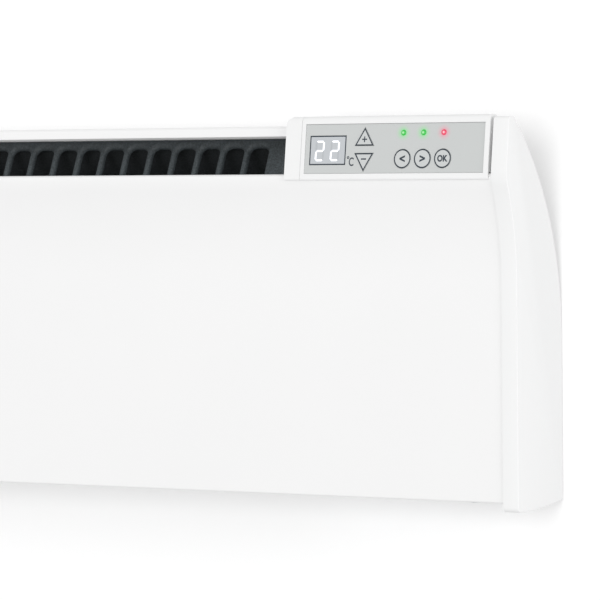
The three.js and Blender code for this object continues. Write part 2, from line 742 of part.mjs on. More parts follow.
// The cassette housing, a wedge whose back follows the bend of the bay
function cassetteHousing() {
  const front = (z) => fasciaAt(z) - 4.6;
  const outline = (wall, reach) => {
    const low = bayFloor + clearance + wall;
    const high = housingTop - wall;
    const back = housingBack + wall;
    const rear = (z) => Math.min(backCurve(housingSkin + wall, z), front(high) - housingShelf);
    const slope = heights(high - 3, high, 1).map((z) => at(rear(z), z));
    const foot = [at(front(low) + reach, low), at(back, low), at(back, bayHigh - 5.4)];
    return [...foot, ...slope, at(front(high) + reach, high)];
  };
  const right = cassetteRight - 2.2;
  const left = cassetteLeft + 2;
  const hollow = profileX(outline(housingWall, 4), left + housingWall, right - housingWall);
  return cut(profileX(outline(0, 0), left, right), hollow);
}

// Pieces on the tilted face. Here x is measured from the right end of the panels, s runs up
// the face from the lower edge of the fascia, and y runs back into the cassette.

function faceBox([x0, x1], [s0, s1], [y0, y1]) {
  const box = new THREE.BoxGeometry(x1 - x0, y1 - y0, s1 - s0);
  return solidOf(box.translate((x0 + x1) / 2, (y0 + y1) / 2, (s0 + s1) / 2));
}

function faceRod(radius, [x, s], [y0, y1], sides = 24) {
  const rod = new THREE.CylinderGeometry(radius, radius, y1 - y0, sides);
  return solidOf(rod.translate(x, (y0 + y1) / 2, s));
}

function facePrism(points, [y0, y1]) {
  return solidOf(extrude(points, y1 - y0).translate(0, 0, -y1).rotateX(Math.PI / 2));
}

// A section in (y, s) drawn along the face
function faceProfile(points, [x0, x1]) {
  const along = new THREE.Matrix4().set(0, 0, 1, x0, 1, 0, 0, 0, 0, 1, 0, 0, 0, 0, 0, 1);
  return solidOf(extrude(points, x1 - x0).applyMatrix4(along));
}

const bezelX = [-cassetteInset - bezelWidth, -cassetteInset];
const blockX = [bezelX[0] - gap - sideBlockWidth, bezelX[0] - gap];
const fasciaX = [bezelX[0] + bezelMarginLeft, bezelX[1] - bezelMarginRight];
const fasciaMiddle = fasciaHeight / 2;
const displaySize = [38.4, 26.8];
const displayCentre = [fasciaX[0] + 4.8 + displaySize[0] / 2, fasciaMiddle - 1.25];
const roundKeyRow = 13.1;
const lampRow = fasciaHeight - 8.6;
const okKeyX = fasciaX[1] - 42.2;
const stepKeyWidth = 19.4;
const stepKeyMargin = 2.2;
const stepKeyX = displayCentre[0] + displaySize[0] / 2 + 9.5 + stepKeyWidth / 2;
const plusKeyBase = fasciaMiddle + 2.75;
const minusKeyBase = fasciaMiddle - 4.25;
const stepKeyHeight = minusKeyBase - stepKeyMargin;
const bezelRise = fasciaHeight + bezelBrow;
const lampRadius = 2.45;
const boardDepth = 6;
const boardSheet = 1.2;
const boardFoot = 6.2;
const capFront = -0.35;
const keyBack = 1.5;
const stemEnd = 2.3;
const keyGap = 0.35;
const ringDepth = 4;
const cheekDepth = 8;

// The front skin shared by the bezel and the side block, with its rounded top and back flange
function coverSkin(span) {
  const front = -fasciaSetback;
  const corner = at(front, bezelRise);
  const path = [at(bezelTopRadius + 5, bezelRise),
    ...bend(at(front + bezelTopRadius, bezelRise), corner, at(front, bezelRise - bezelTopRadius), 6),
    at(front, 1.2 - bezelDrop), at(front + 0.5, 0.4 - bezelDrop), at(front + 1.2, -bezelDrop)];
  return faceProfile(sheetAlong(path, bezelWall), span);
}

function coverCheek(span, depth) {
  const front = -fasciaSetback;
  const top = bezelRise - 0.9;
  const round = [at(front + bezelTopRadius, bezelRise - 0.4), at(front + 2.4, bezelRise - 2.6)];
  const outline = [at(front + 0.4, 0.9), at(depth, 0.9),
    at(depth, Math.min(top, bezelRise - bezelTopRadius + depth)), ...round.filter((p) => p.x < depth),
    at(front + 0.4, bezelRise - bezelTopRadius)];
  return faceProfile(outline, span);
}

function cassetteBezel() {
  const ring = faceBox([fasciaX[0] - 2, fasciaX[1] + 2], [0.9, fasciaHeight + 2], [0.4, ringDepth]);
  const pocket = faceBox(fasciaX, [0, fasciaHeight], [-5, keyBack + gap]);
  const opening = faceBox([fasciaX[0] + 2.6, fasciaX[1] - 2.8], [1.9, fasciaHeight - 3], [-5, 12]);
  const cheek = coverCheek([bezelX[1] - mouldWall, bezelX[1]], cheekDepth);
  return cut(joined(coverSkin(bezelX), ring, cheek), pocket, opening);
}

function cassetteSideBlock() {
  const outer = coverCheek([blockX[0], blockX[0] + mouldWall], cheekDepth);
  const inner = coverCheek([blockX[1] - mouldWall, blockX[1]], ringDepth);
  const body = joined(coverSkin(blockX), outer, inner);
  const [left, right] = blockX;
  const trim = facePrism([
    at(right + 1, -bezelDrop - 1), at(right + 1, bezelRise + 1), at(left + 5, bezelRise + 1),
    ...bend(at(left + 5, bezelRise - 1.6), at(left, bezelRise - 2.4), at(left, bezelRise - 8), 5),
    at(left, -bezelDrop - 1)], [-3, 30]);
  return body.intersect(trim);
}

// Five keys: two triangles that step the temperature and three round ones
const triangle = (base, rise, spread) => {
  const half = stepKeyWidth / 2 + spread * 1.7;
  const out = Math.sign(rise) * spread;
  const foot = base - out;
  return [at(stepKeyX - half, foot), at(stepKeyX + half, foot), at(stepKeyX, base + rise + out * 2)];
};

const circle = (x, s, radius) => Array.from({ length: 24 }, (_, i) => (
  at(x + radius * Math.cos((i * Math.PI) / 12), s + radius * Math.sin((i * Math.PI) / 12))));

const keys = [
  ...[['key_plus', plusKeyBase, 1], ['key_minus', minusKeyBase, -1]].map(([name, base, way]) => {
    const outline = (spread) => triangle(base, way * stepKeyHeight, spread);
    return { name, spot: [stepKeyX, base + way * 5.4], outline };
  }),
  ...['key_back', 'key_forward', 'key_ok'].map((name, i) => {
    const x = okKeyX - (2 - i) * keyPitch;
    return { name, spot: [x, roundKeyRow], outline: (spread) => circle(x, roundKeyRow, keyRadius + spread) };
  }),
];
const lamps = [0, 1, 2].map((i) => [okKeyX - (2 - i) * keyPitch, lampRow]);

function fascia() {
  const plate = faceBox([fasciaX[0] + gap, fasciaX[1] - gap], [gap, fasciaHeight - gap], [0, keyBack]);
  const keyHoles = keys.map((key) => facePrism(key.outline(keyGap), [-2, 4]));
  const lampHoles = lamps.map((spot) => faceRod(lampRadius + 0.2, spot, [-2, 4], 20));
  const [x, s] = displayCentre;
  const [width, height] = displaySize;
  const window = faceBox([x - width / 2, x + width / 2], [s - height / 2, s + height / 2], [-2, 4]);
  return cut(plate, window, ...keyHoles, ...lampHoles);
}

function displayWindow() {
  const [x, s] = displayCentre;
  const [halfWidth, halfHeight] = displaySize.map((size) => size / 2 - gap);
  return faceBox([x - halfWidth, x + halfWidth], [s - halfHeight, s + halfHeight], [0.1, keyBack]);
}

function displayModule() {
  const [x, s] = displayCentre;
  return faceBox([x - 17, x + 17], [s - 11.5, s + 11.5], [keyBack + gap, boardDepth - gap]);
}

function circuitBoard() {
  const board = faceBox([fasciaX[0] + 4, fasciaX[1] - 4], [boardFoot, lampRow + lampRadius + 0.6],
    [boardDepth, boardDepth + boardSheet]);
  const holes = [fasciaX[0] + 8, fasciaX[1] - 8].map((x) => faceRod(1.6, [x, 24], [0, 12], 12));
  return cut(board, ...holes);
}

function lamp(spot) {
  const barrel = faceRod(lampRadius, spot, [0, boardDepth - gap], 20);
  const dome = new THREE.SphereGeometry(lampRadius, 20, 10).scale(1, 0.3, 1).translate(spot[0], 0, spot[1]);
  return joined(barrel, solidOf(dome));
}

function keySwitch([x, s]) {
  const body = faceBox([x - 3, x + 3], [s - 3, s + 3], [stemEnd + keyTravel + 0.8, boardDepth - gap]);
  return joined(body, faceRod(1.7, [x, s], [stemEnd + keyTravel + 0.1, stemEnd + keyTravel + 1], 12));
}

function pressKey(key) {
  const cap = facePrism(key.outline(0), [capFront, keyBack - 0.05]);
  return joined(cap, faceRod(1.6, key.spot, [keyBack - 0.2, stemEnd], 12));
}

function boardBlock([x0, x1], [s0, s1], depth) {
  const foot = boardDepth + boardSheet + gap;
  return faceBox([x0, x1], [s0, s1], [foot, foot + depth]);
}

// Assembly

const heater = new THREE.Group();
const face = new THREE.Group();
face.position.set(bodyHalf, -fasciaAt(faceFoot), faceFoot - bracketHeight);
face.rotation.x = -faceTilt;
heater.add(face);

function place(name, shape, finish, group = heater) {
  const geometry = shape.isBufferGeometry ? shape : geometryOf(shape);
  const mesh = new THREE.Mesh(geometry, new THREE.MeshStandardMaterial({ ...finishes[finish] }));
  mesh.name = name;
  group.add(mesh);
}

place('bracket_rail', bracketRail(), 'zincSteel');
place('bracket_arm_left', bracketArm(-1), 'zincSteel');
place('bracket_arm_right', bracketArm(1), 'zincSteel');

place('front_panel', frontPanel(), 'whiteSteel');
place('back_panel', backPanel(), 'whiteSteel');
const cap = geometryOf(capShell());
place('end_cap_right', cap, 'whiteMould');
place('end_cap_left', mirrored(cap), 'whiteMould');
const plate = geometryOf(gable());
place('gable_right', plate, 'zincSteel');
place('gable_left', mirrored(plate), 'zincSteel');
capBosses.forEach((boss, i) => {
  const screw = geometryOf(capScrew(boss));
  place(`cap_screw_${2 * i + 1}`, screw, 'zincSteel');
  place(`cap_screw_${2 * i + 2}`, mirrored(screw), 'zincSteel');
});
place('wall_buffer_left', wallBuffer(-1), 'rubber');
place('wall_buffer_right', wallBuffer(1), 'rubber');

place('outlet_grille_left', outletGrille(1 - panelEnd, grilleSeam - gap / 2), 'darkSteel');
place('outlet_grille_right', outletGrille(grilleSeam + gap / 2, grilleEnd), 'darkSteel');
place('inner_deflector', innerDeflector(), 'darkSteel');
place('intake_grille', intakeGrille(), 'darkSteel');
place('partition', partition(), 'zincSteel');
place('finned_element', finnedElement(), 'aluminium');
['left', 'right'].forEach((end, i) => {
  place(`element_hanger_${end}`, elementHanger(bushX[i]), 'zincSteel');
  place(`element_bush_${end}`, elementBush(bushX[i]), 'ceramic');
});
place('thermal_cutout', thermalCutout(), 'blackMould');
place('cutout_clip', cutoutClip(), 'zincSteel');

place('terminal_block', terminalBlock(), 'ceramic');
place('service_cover', serviceCover(), 'zincSteel');
place('cable_gland', cableGland(), 'greyMould');
place('gland_nut', glandNut(), 'greyMould');
place('room_sensor', roomSensor(), 'blackMould');
place('cassette_bay', cassetteBay(), 'blackMould');
place('bay_socket', baySocket(), 'greyMould');

const wireRadius = 1.3;
const wireSink = 9;
const wireSweep = 2.1 * wireSink;
const wireTop = bayFloor - socketTail - gap;
const wireFoot = terminalTop + gap;
const wireRise = wireTop - wireFoot;
const wireWay = terminalX[0] + terminalPitch / 2;
const socketMiddle = (socketDepth[0] + socketDepth[1]) / 2;
[['wire_live', 0, 'brownWire'], ['wire_neutral', 1, 'blueWire']].forEach(([name, i, finish]) => {
  const low = wireWay + i * terminalPitch;
  const high = socketX[0] + (0.25 + 0.35 * i) * (socketX[1] - socketX[0]);
  const bowed = (plateFace + wireSweep + socketMiddle) / 2;
  place(name, wire([[low, plateFace + wireSink, wireFoot],
    [low, plateFace + wireSink, wireFoot + 0.08 * wireRise],
    [low, plateFace + wireSweep, wireFoot + 0.45 * wireRise],
    [high, bowed, wireTop - 0.3 * wireRise], [high, socketMiddle, wireTop - 0.08 * wireRise],
    [high, socketMiddle, wireTop]], wireRadius), finish);
});
const elementEnd = partitionX + terminalReach + gap;
const [elementU, elementZ] = elementAxis;
const lastWay = wireWay + 2 * terminalPitch;
const elementWay = lastWay - elementEnd;
place('wire_element', wire([[elementEnd, elementU, elementZ],
  [elementEnd + 0.1 * elementWay, elementU, elementZ],
  [elementEnd + 0.4 * elementWay, elementU, elementZ + 2 * wireSink],
  [wireWay + wireSink, plateFace + wireSweep, elementZ + 4 * wireSink],
  [lastWay, plateFace + wireSink, wireFoot + 3 * wireSink],
  [lastWay, plateFace + wireSink, wireFoot + wireSink],
  [lastWay, plateFace + wireSink, wireFoot]], wireRadius), 'blackWire');

place('cassette_housing', cassetteHousing(), 'whiteMould');
place('plug_connector', plugConnector(), 'greyMould');
place('cassette_bezel', cassetteBezel(), 'whiteMould', face);
place('cassette_side_block', cassetteSideBlock(), 'whiteMould', face);
place('fascia', fascia(), 'greyFoil', face);
place('display_window', displayWindow(), 'displayFace', face);
place('display_module', displayModule(), 'blackMould', face);
place('circuit_board', circuitBoard(), 'board', face);
lamps.forEach((spot, i) => place(`led_${i + 1}`, lamp(spot), i < 2 ? 'greenLamp' : 'redLamp', face));
keys.forEach((key, i) => {
  place(key.name, pressKey(key), 'greyFoil', face);
  place(`switch_${i + 1}`, keySwitch(key.spot), 'blackMould', face);
});
const besideKeys = [okKeyX - 11.7, okKeyX + 8.3];
const besideSteps = [stepKeyX + 11.9, stepKeyX + 43.9];
place('relay', boardBlock(besideKeys, [8, 20], 6), 'blackMould', face);
place('transformer', boardBlock(besideSteps, [7, 20], 6), 'blackMould', face);

export default heater;
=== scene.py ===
"""Looks of the wall panel convector heater: its finishes, smooth shells, printed fascia and studio.

Lengths are in metres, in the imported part's own frame: +X along the heater to its thermostat end,
+Y into the wall, +Z up. Side views are drawn as (u, z), where u is the distance out from the wall
and z the height, and the tilted face as (x, s), where x runs from the right end of the panels and
s up the face from the fascia's lower edge.
"""

import math

import bmesh
import bpy
from mathutils import Matrix, Vector


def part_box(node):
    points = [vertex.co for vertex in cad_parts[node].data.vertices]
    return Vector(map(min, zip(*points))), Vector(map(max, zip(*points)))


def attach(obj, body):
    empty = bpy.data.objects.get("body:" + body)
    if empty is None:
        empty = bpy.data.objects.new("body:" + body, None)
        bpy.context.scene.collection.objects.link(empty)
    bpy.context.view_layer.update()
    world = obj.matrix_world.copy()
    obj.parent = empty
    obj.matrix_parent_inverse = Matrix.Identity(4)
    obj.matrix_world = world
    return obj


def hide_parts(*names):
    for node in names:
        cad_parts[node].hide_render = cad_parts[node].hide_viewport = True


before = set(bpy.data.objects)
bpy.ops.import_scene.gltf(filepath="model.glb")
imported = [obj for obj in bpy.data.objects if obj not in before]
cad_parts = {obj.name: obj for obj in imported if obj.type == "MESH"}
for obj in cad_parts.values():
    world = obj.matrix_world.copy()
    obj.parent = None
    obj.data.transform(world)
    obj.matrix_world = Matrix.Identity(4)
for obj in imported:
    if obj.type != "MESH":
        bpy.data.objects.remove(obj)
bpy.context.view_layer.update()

bl_info = {
    "name": "Panel Heater Looks",
    "version": (1, 0, 0),
    "blender": (4, 5, 0),
    "location": "3D View > Sidebar > Heater",
    "description": "Dresses the packed panel heater and sets its studio",
    "category": "Object",
}

MM = 0.001
BODY_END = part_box("end_cap_right")[0][0]
CAP_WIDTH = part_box("end_cap_right")[1][0] - BODY_END
CAP_BOSSES = ((50.0, 55.0), (62.0, 250.0))
BOSS_RADIUS, BOSS_WALL, BOSS_CLEARANCE, BOSS_SEGMENTS = 4 * MM, 2.1 * MM, 0.15 * MM, 32
BOSS_BORE = 0.8  # share of the boss that is bored
GRILLE_SPAN = (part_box("outlet_grille_left")[0][0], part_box("outlet_grille_right")[1][0])
GRILLE_FOOT = (92.26, 296.0)
GRILLE_HEAD = (76.63, 332.4)
BAND_RISE = (0.6, 39.6)
FIRST_SLOT, SLOT_PITCH, SLOT_COUNT = 119.7, 26.8, 18
SLOT_HALF, SLOT_FOOT, SLOT_HEAD, SLOT_CORNER = 10.5, 2.6, 32.0, 7.0
RIM_SPREAD, RIM_DEPTH = 6.6, 4.4
RIM_TURNS = (0, 15, 30, 45, 60, 75, 90)
SIDE_SHARE, CORNER_SHARE = 0.36, 0.3  # how much of the rim's spread goes to its sides and its corners
PANEL_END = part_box("front_panel")[1][0]
LIFT = 150 * MM  # the frame's origin above the lowest edge of the end caps
FACE_TILT = math.radians(7.2)
FACE_OUT, FACE_RISE = 99.823 * MM, 150.4 * MM
FACE_PLACE = (Matrix.Translation((BODY_END, -FACE_OUT, FACE_RISE))
              @ Matrix.Rotation(-FACE_TILT, 4, "X"))


# Mesh tools

def side(u, z):
    """A point of the side view in millimetres, set into the frame."""
    return Vector((0, -u * MM, z * MM - LIFT))


def outline(start, *moves):
    """A wire in the side view. A move is a point to draw to, or a centre, degrees and steps to turn by."""
    bm = bmesh.new()
    tip = bm.verts.new(side(*start))
    for move in moves:
        if len(move) == 2:
            tip = bmesh.ops.extrude_vert_indiv(bm, verts=[tip])["verts"][0]
            tip.co = side(*move)
        else:
            centre, degrees, steps = move
            turned = bmesh.ops.spin(bm, geom=[tip], cent=side(*centre), axis=(1, 0, 0),
                                    angle=math.radians(degrees), steps=steps)
            tip = [v for v in turned["geom_last"] if isinstance(v, bmesh.types.BMVert)][0]
    return bm


def round_corners(bm, corners, segments=6):
    """Rounds wire corners, given as point and radius."""
    for (u, z), radius in corners:
        near = min(bm.verts, key=lambda v: (v.co - side(u, z)).length)
        bmesh.ops.bevel(bm, geom=[near], offset=radius * MM, offset_type="OFFSET", segments=segments,
                        profile=0.5, affect="VERTICES", material=-1)


def draw_out(bm, x0, x1):
    """Draws a wire out along X into a strip of faces."""
    bmesh.ops.translate(bm, verts=bm.verts, vec=(x0, 0, 0))
    drawn = bmesh.ops.extrude_edge_only(bm, edges=bm.edges[:])
    moved = [v for v in drawn["geom"] if isinstance(v, bmesh.types.BMVert)]
    bmesh.ops.translate(bm, verts=moved, vec=(x1 - x0, 0, 0))


def soften(bm, edges, radius, segments=3):
    """Rounds edges off by a radius."""
    bmesh.ops.bevel(bm, geom=edges, offset=radius, offset_type="OFFSET", segments=segments,
                    profile=0.5, affect="EDGES", material=-1, clamp_overlap=True)


def extrude_faces(bm, faces, vec):
    """Draws a region of faces out and gives back the moved faces."""
    drawn = bmesh.ops.extrude_face_region(bm, geom=faces)["geom"]
    bmesh.ops.translate(bm, verts=[v for v in drawn if isinstance(v, bmesh.types.BMVert)], vec=vec)
    return [f for f in drawn if isinstance(f, bmesh.types.BMFace)]


def add_boss(bm, foot, reach):
    """Adds a round screw boss that reaches along X and is bored for its screw."""
    middle = foot + Vector((reach / 2 + BOSS_CLEARANCE, 0, 0))
    place = Matrix.Translation(middle) @ Matrix.Rotation(math.radians(90), 4, "Y")
    made = bmesh.ops.create_cone(bm, cap_ends=True, segments=BOSS_SEGMENTS, radius1=BOSS_RADIUS,
                                 radius2=BOSS_RADIUS, depth=reach - 2 * BOSS_CLEARANCE,
                                 matrix=place)["verts"]
    ends = {f for v in made for f in v.link_faces if len(f.verts) == BOSS_SEGMENTS}
    near = min(ends, key=lambda f: f.calc_center_median().x)
    bmesh.ops.inset_individual(bm, faces=[near], thickness=BOSS_WALL, use_even_offset=True)
    extrude_faces(bm, [near], (reach * BOSS_BORE, 0, 0))


def block(bm, low, high):
    """Adds a block between two corners."""
    low, high = Vector(low), Vector(high)
    place = Matrix.Translation((low + high) / 2) @ Matrix.Diagonal((*(high - low), 1))
    return bmesh.ops.create_cube(bm, size=1, matrix=place)["verts"]


def piece(name, bm, finish, body, replaced=(), crease=35):
    """Turns a mesh into a finished piece that rides on a body."""
    mesh = bpy.data.meshes.new(name)
    bm.to_mesh(mesh)
    bm.free()
    mesh.polygons.foreach_set("use_smooth", [True] * len(mesh.polygons))
    mesh.set_sharp_from_angle(angle=math.radians(crease))
    mesh.materials.append(finish)
    obj = bpy.data.objects.new(name, mesh)
    bpy.context.scene.collection.objects.link(obj)
    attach(obj, body)
    if replaced:
        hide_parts(*replaced)
    return obj


# Finishes

def put(tree, kind, feeds=None, **settings):
    """Adds a node, sets its options, and feeds its inputs with values or other nodes' outputs."""
    node = tree.nodes.new(kind)
    for key, value in settings.items():
        setattr(node, key, value)
    for key, value in (feeds or {}).items():
        if isinstance(value, bpy.types.NodeSocket):
            tree.links.new(value, node.inputs[key])
        else:
            node.inputs[key].default_value = value
    return node


def shared_group(name, inputs, outputs):
    """A new shader node group with its sockets, and its input and output nodes."""
    group = bpy.data.node_groups.new(name, "ShaderNodeTree")
    for socket, kind, default in inputs:
        made = group.interface.new_socket(socket, in_out="INPUT", socket_type=kind)
        if default is not None:
            made.default_value = default
    for socket, kind in outputs:
        group.interface.new_socket(socket, in_out="OUTPUT", socket_type=kind)
    return group, group.nodes.new("NodeGroupInput").outputs, group.nodes.new("NodeGroupOutput").inputs


def coat_group():
    """Powder coat and moulding grain: a fine height, and a slow drift of tone."""
    group, given, out = shared_group(
        "Coat Grain",
        [("Vector", "NodeSocketVector", None), ("Grain Scale", "NodeSocketFloat", 1800.0),
         ("Drift Scale", "NodeSocketFloat", 9.0)],
        [("Height", "NodeSocketFloat"), ("Drift", "NodeSocketFloat")])
    fine = put(group, "ShaderNodeTexNoise", {"Vector": given["Vector"], "Scale": given["Grain Scale"],
                                             "Detail": 2.0, "Roughness": 0.5})
    slow = put(group, "ShaderNodeTexNoise", {"Vector": given["Vector"], "Scale": given["Drift Scale"],
                                             "Detail": 3.0, "Roughness": 0.55})
    group.links.new(fine.outputs["Fac"], out["Height"])
    group.links.new(slow.outputs["Fac"], out["Drift"])
    return group


def speckle_group():
    """The light and dark flecks of a coarse two-tone coat."""
    group, given, out = shared_group(
        "Speckle",
        [("Vector", "NodeSocketVector", None), ("Fleck Scale", "NodeSocketFloat", 700.0)],
        [("Flecks", "NodeSocketFloat")])
    noise = put(group, "ShaderNodeTexNoise", {"Vector": given["Vector"], "Scale": given["Fleck Scale"],
                                              "Detail": 4.0, "Roughness": 0.75})
    spread = put(group, "ShaderNodeMapRange", {"Value": noise.outputs["Fac"], "From Min": 0.36,
                                               "From Max": 0.64})
    group.links.new(spread.outputs["Result"], out["Flecks"])
    return group


def brushed_group():
    """Fine lines along X, as rolling and plating leave on sheet."""
    group, given, out = shared_group(
        "Rolled Lines",
        [("Vector", "NodeSocketVector", None), ("Line Scale", "NodeSocketFloat", 900.0)],
        [("Lines", "NodeSocketFloat")])
    stretched = put(group, "ShaderNodeMapping", {"Vector": given["Vector"], "Scale": (0.03, 1.0, 1.0)})
    noise = put(group, "ShaderNodeTexNoise", {"Vector": stretched.outputs["Vector"],
                                              "Scale": given["Line Scale"], "Detail": 3.0})
    group.links.new(noise.outputs["Fac"], out["Lines"])
    return group


def halo_group():
    """How near a point lies to a lamp: one at its centre, none past its reach."""
    group, given, out = shared_group(
        "Lamp Halo",
        [("Vector", "NodeSocketVector", None), ("Lamp", "NodeSocketVector", None),
         ("Reach", "NodeSocketFloat", 0.006)],
        [("Halo", "NodeSocketFloat")])
    away = put(group, "ShaderNodeVectorMath", {0: given["Vector"], 1: given["Lamp"]}, operation="DISTANCE")
    near = put(group, "ShaderNodeMapRange", {"Value": away.outputs["Value"], "From Min": 0.0,
                                             "From Max": given["Reach"], "To Min": 1.0, "To Max": 0.0})
    soft = put(group, "ShaderNodeMath", {0: near.outputs["Result"], 1: 2.0}, operation="POWER")
    group.links.new(soft.outputs["Value"], out["Halo"])
    return group


GROUPS = {}
# painted shade: between these heights the outlet's coat is painted darker towards its head
OUTLET_SHADE_HEIGHTS = (0.147, 0.176)  # the heights between which the outlet's coat darkens
# how far the lamps' painted glow reaches on the fascia foil, and how far a lamp's own bright core reaches
PAINTED_GLOW_REACH, LAMP_REACH = 8.6 * MM, 2.7 * MM


def group_node(tree, name, feeds):
    """Adds a shared group's node, making the group when it is first asked for."""
    makers = {"Coat Grain": coat_group, "Speckle": speckle_group, "Rolled Lines": brushed_group,
              "Lamp Halo": halo_group}
    if name not in GROUPS:
        GROUPS[name] = makers[name]()
    return put(tree, "ShaderNodeGroup", feeds, node_tree=GROUPS[name])


def shaded(colour, factor):
    """A colour made lighter or darker, up to full white."""
    return tuple(min(1.0, c * factor) for c in colour[:3]) + (1.0,)


def new_finish(name):
    """A material with a Principled shader, and its object coordinates."""
    material = bpy.data.materials.new(name)
    material.use_nodes = True
    tree = material.node_tree
    shader = next(n for n in tree.nodes if n.type == "BSDF_PRINCIPLED")
    where = put(tree, "ShaderNodeTexCoord").outputs["Object"]
    return material, tree, shader, where


def blend_colour(tree, factor, dark, light):
    """Mixes two colours, or the colours of two sockets."""
    return put(tree, "ShaderNodeMix", {"Factor": factor, 6: dark, 7: light}, data_type="RGBA").outputs[2]


def coated(name, colour, roughness=0.42, grain=1800.0, depth=0.02, drift=9.0, tone=0.02, **sockets):
    """A painted or moulded surface: fine grain in the relief, slow drift in colour and gloss."""
    material, tree, shader, where = new_finish(name)
    coat = group_node(tree, "Coat Grain", {"Vector": where, "Grain Scale": grain, "Drift Scale": drift})
    base = blend_colour(tree, coat.outputs["Drift"], shaded(colour, 1 - tone), shaded(colour, 1 + tone))
    tree.links.new(base, shader.inputs["Base Color"])
    gloss = put(tree, "ShaderNodeMapRange", {"Value": coat.outputs["Drift"], "To Min": roughness - 0.05,
                                             "To Max": roughness + 0.05})
    tree.links.new(gloss.outputs["Result"], shader.inputs["Roughness"])
    bump = put(tree, "ShaderNodeBump", {"Height": coat.outputs["Height"], "Strength": 0.35,
                                        "Distance": depth * MM})
    tree.links.new(bump.outputs["Normal"], shader.inputs["Normal"])
    for key, value in sockets.items():
        shader.inputs[key].default_value = value
    return material


def plated(name, colour, roughness=0.36, metallic=0.9, scale=900.0):
    """Bare or plated sheet metal with rolled lines."""
    material, tree, shader, where = new_finish(name)
    lines = group_node(tree, "Rolled Lines", {"Vector": where, "Line Scale": scale}).outputs["Lines"]
    tree.links.new(blend_colour(tree, lines, shaded(colour, 0.9), shaded(colour, 1.08)),
                   shader.inputs["Base Color"])
    gloss = put(tree, "ShaderNodeMapRange", {"Value": lines, "To Min": roughness - 0.08,
                                             "To Max": roughness + 0.08})
    tree.links.new(gloss.outputs["Result"], shader.inputs["Roughness"])
    bump = put(tree, "ShaderNodeBump", {"Height": lines, "Strength": 0.25, "Distance": 0.02 * MM})
    tree.links.new(bump.outputs["Normal"], shader.inputs["Normal"])
    shader.inputs["Metallic"].default_value = metallic
    return material


def flecked(name, colour, roughness=0.62):
    """The outlet's coarse heat-proof coat, flecked light and dark, with painted shade that darkens it towards
    its head.
    """
    material, tree, shader, where = new_finish(name)
    flecks = group_node(tree, "Speckle", {"Vector": where, "Fleck Scale": 650.0}).outputs["Flecks"]
    foot = blend_colour(tree, flecks, shaded(colour, 0.75), shaded(colour, 2.0))
    # painted shade: the head of the coat is painted darker than its foot
    head = blend_colour(tree, flecks, shaded(colour, 0.45), shaded(colour, 1.2))
    height = put(tree, "ShaderNodeSeparateXYZ", {"Vector": where}).outputs["Z"]
    rise = put(tree, "ShaderNodeMapRange", {"Value": height, "From Min": OUTLET_SHADE_HEIGHTS[0],
                                            "From Max": OUTLET_SHADE_HEIGHTS[1]})
    tree.links.new(blend_colour(tree, rise.outputs["Result"], foot, head), shader.inputs["Base Color"])
    gloss = put(tree, "ShaderNodeMapRange", {"Value": flecks, "To Min": roughness + 0.1,
                                             "To Max": roughness - 0.1})
    tree.links.new(gloss.outputs["Result"], shader.inputs["Roughness"])
    bump = put(tree, "ShaderNodeBump", {"Height": flecks, "Strength": 0.4, "Distance": 0.08 * MM})
    tree.links.new(bump.outputs["Normal"], shader.inputs["Normal"])
    return material


def glowing(name, colour, glow, strength=1.0):
    """A lit lamp or digit, with a fine grain in what it shows unlit."""
    material = coated(name, colour, roughness=0.3, grain=2600.0, depth=0.01, tone=0.03)
    shader = next(n for n in material.node_tree.nodes if n.type == "BSDF_PRINCIPLED")
    shader.inputs["Emission Color"].default_value = (*glow, 1.0)
    shader.inputs["Emission Strength"].default_value = strength
    return material


def foil_with_painted_glow(name, colour, lamps):
    """The fascia's satin foil, with each lamp's light painted on it as a tinted glow round the lamp."""
    material = coated(name, colour, roughness=0.46, grain=2400.0, depth=0.015, tone=0.015)
    tree = material.node_tree
    shader = next(n for n in tree.nodes if n.type == "BSDF_PRINCIPLED")
    where = put(tree, "ShaderNodeTexCoord").outputs["Object"]
    tone = shader.inputs["Base Color"].links[0].from_socket
    # painted light: each lamp's glow is painted on the foil as a tint that fades with distance
    for place, hue in lamps:
        halo = group_node(tree, "Lamp Halo", {"Vector": where, "Lamp": place, "Reach": PAINTED_GLOW_REACH})
        tone = blend_colour(tree, halo.outputs["Halo"], tone, (*hue, 1))
    tree.links.new(tone, shader.inputs["Base Color"])
    return material


def lamp_light(name, place, ring, core):
    """A lit lamp: a bright core that falls off to its deeper hue at the rim."""
    material, tree, shader, where = new_finish(name)
    halo = group_node(tree, "Lamp Halo", {"Vector": where, "Lamp": place, "Reach": LAMP_REACH})
    heart = put(tree, "ShaderNodeMapRange", {"Value": halo.outputs["Halo"], "From Min": 0.14,
                                             "From Max": 0.5})
    tree.links.new(blend_colour(tree, heart.outputs["Result"], (*ring, 1), (*core, 1)),
                   shader.inputs["Emission Color"])
    shader.inputs["Emission Strength"].default_value = 0.85
    shader.inputs["Base Color"].default_value = shaded(ring, 0.2)
    shader.inputs["Roughness"].default_value = 0.3
    return material


FINISHES = {}


def finish(name):
    """The named finish, made when it is first asked for."""
    if name not in FINISHES:
        FINISHES[name] = finish_makers()[name]()
    return FINISHES[name]


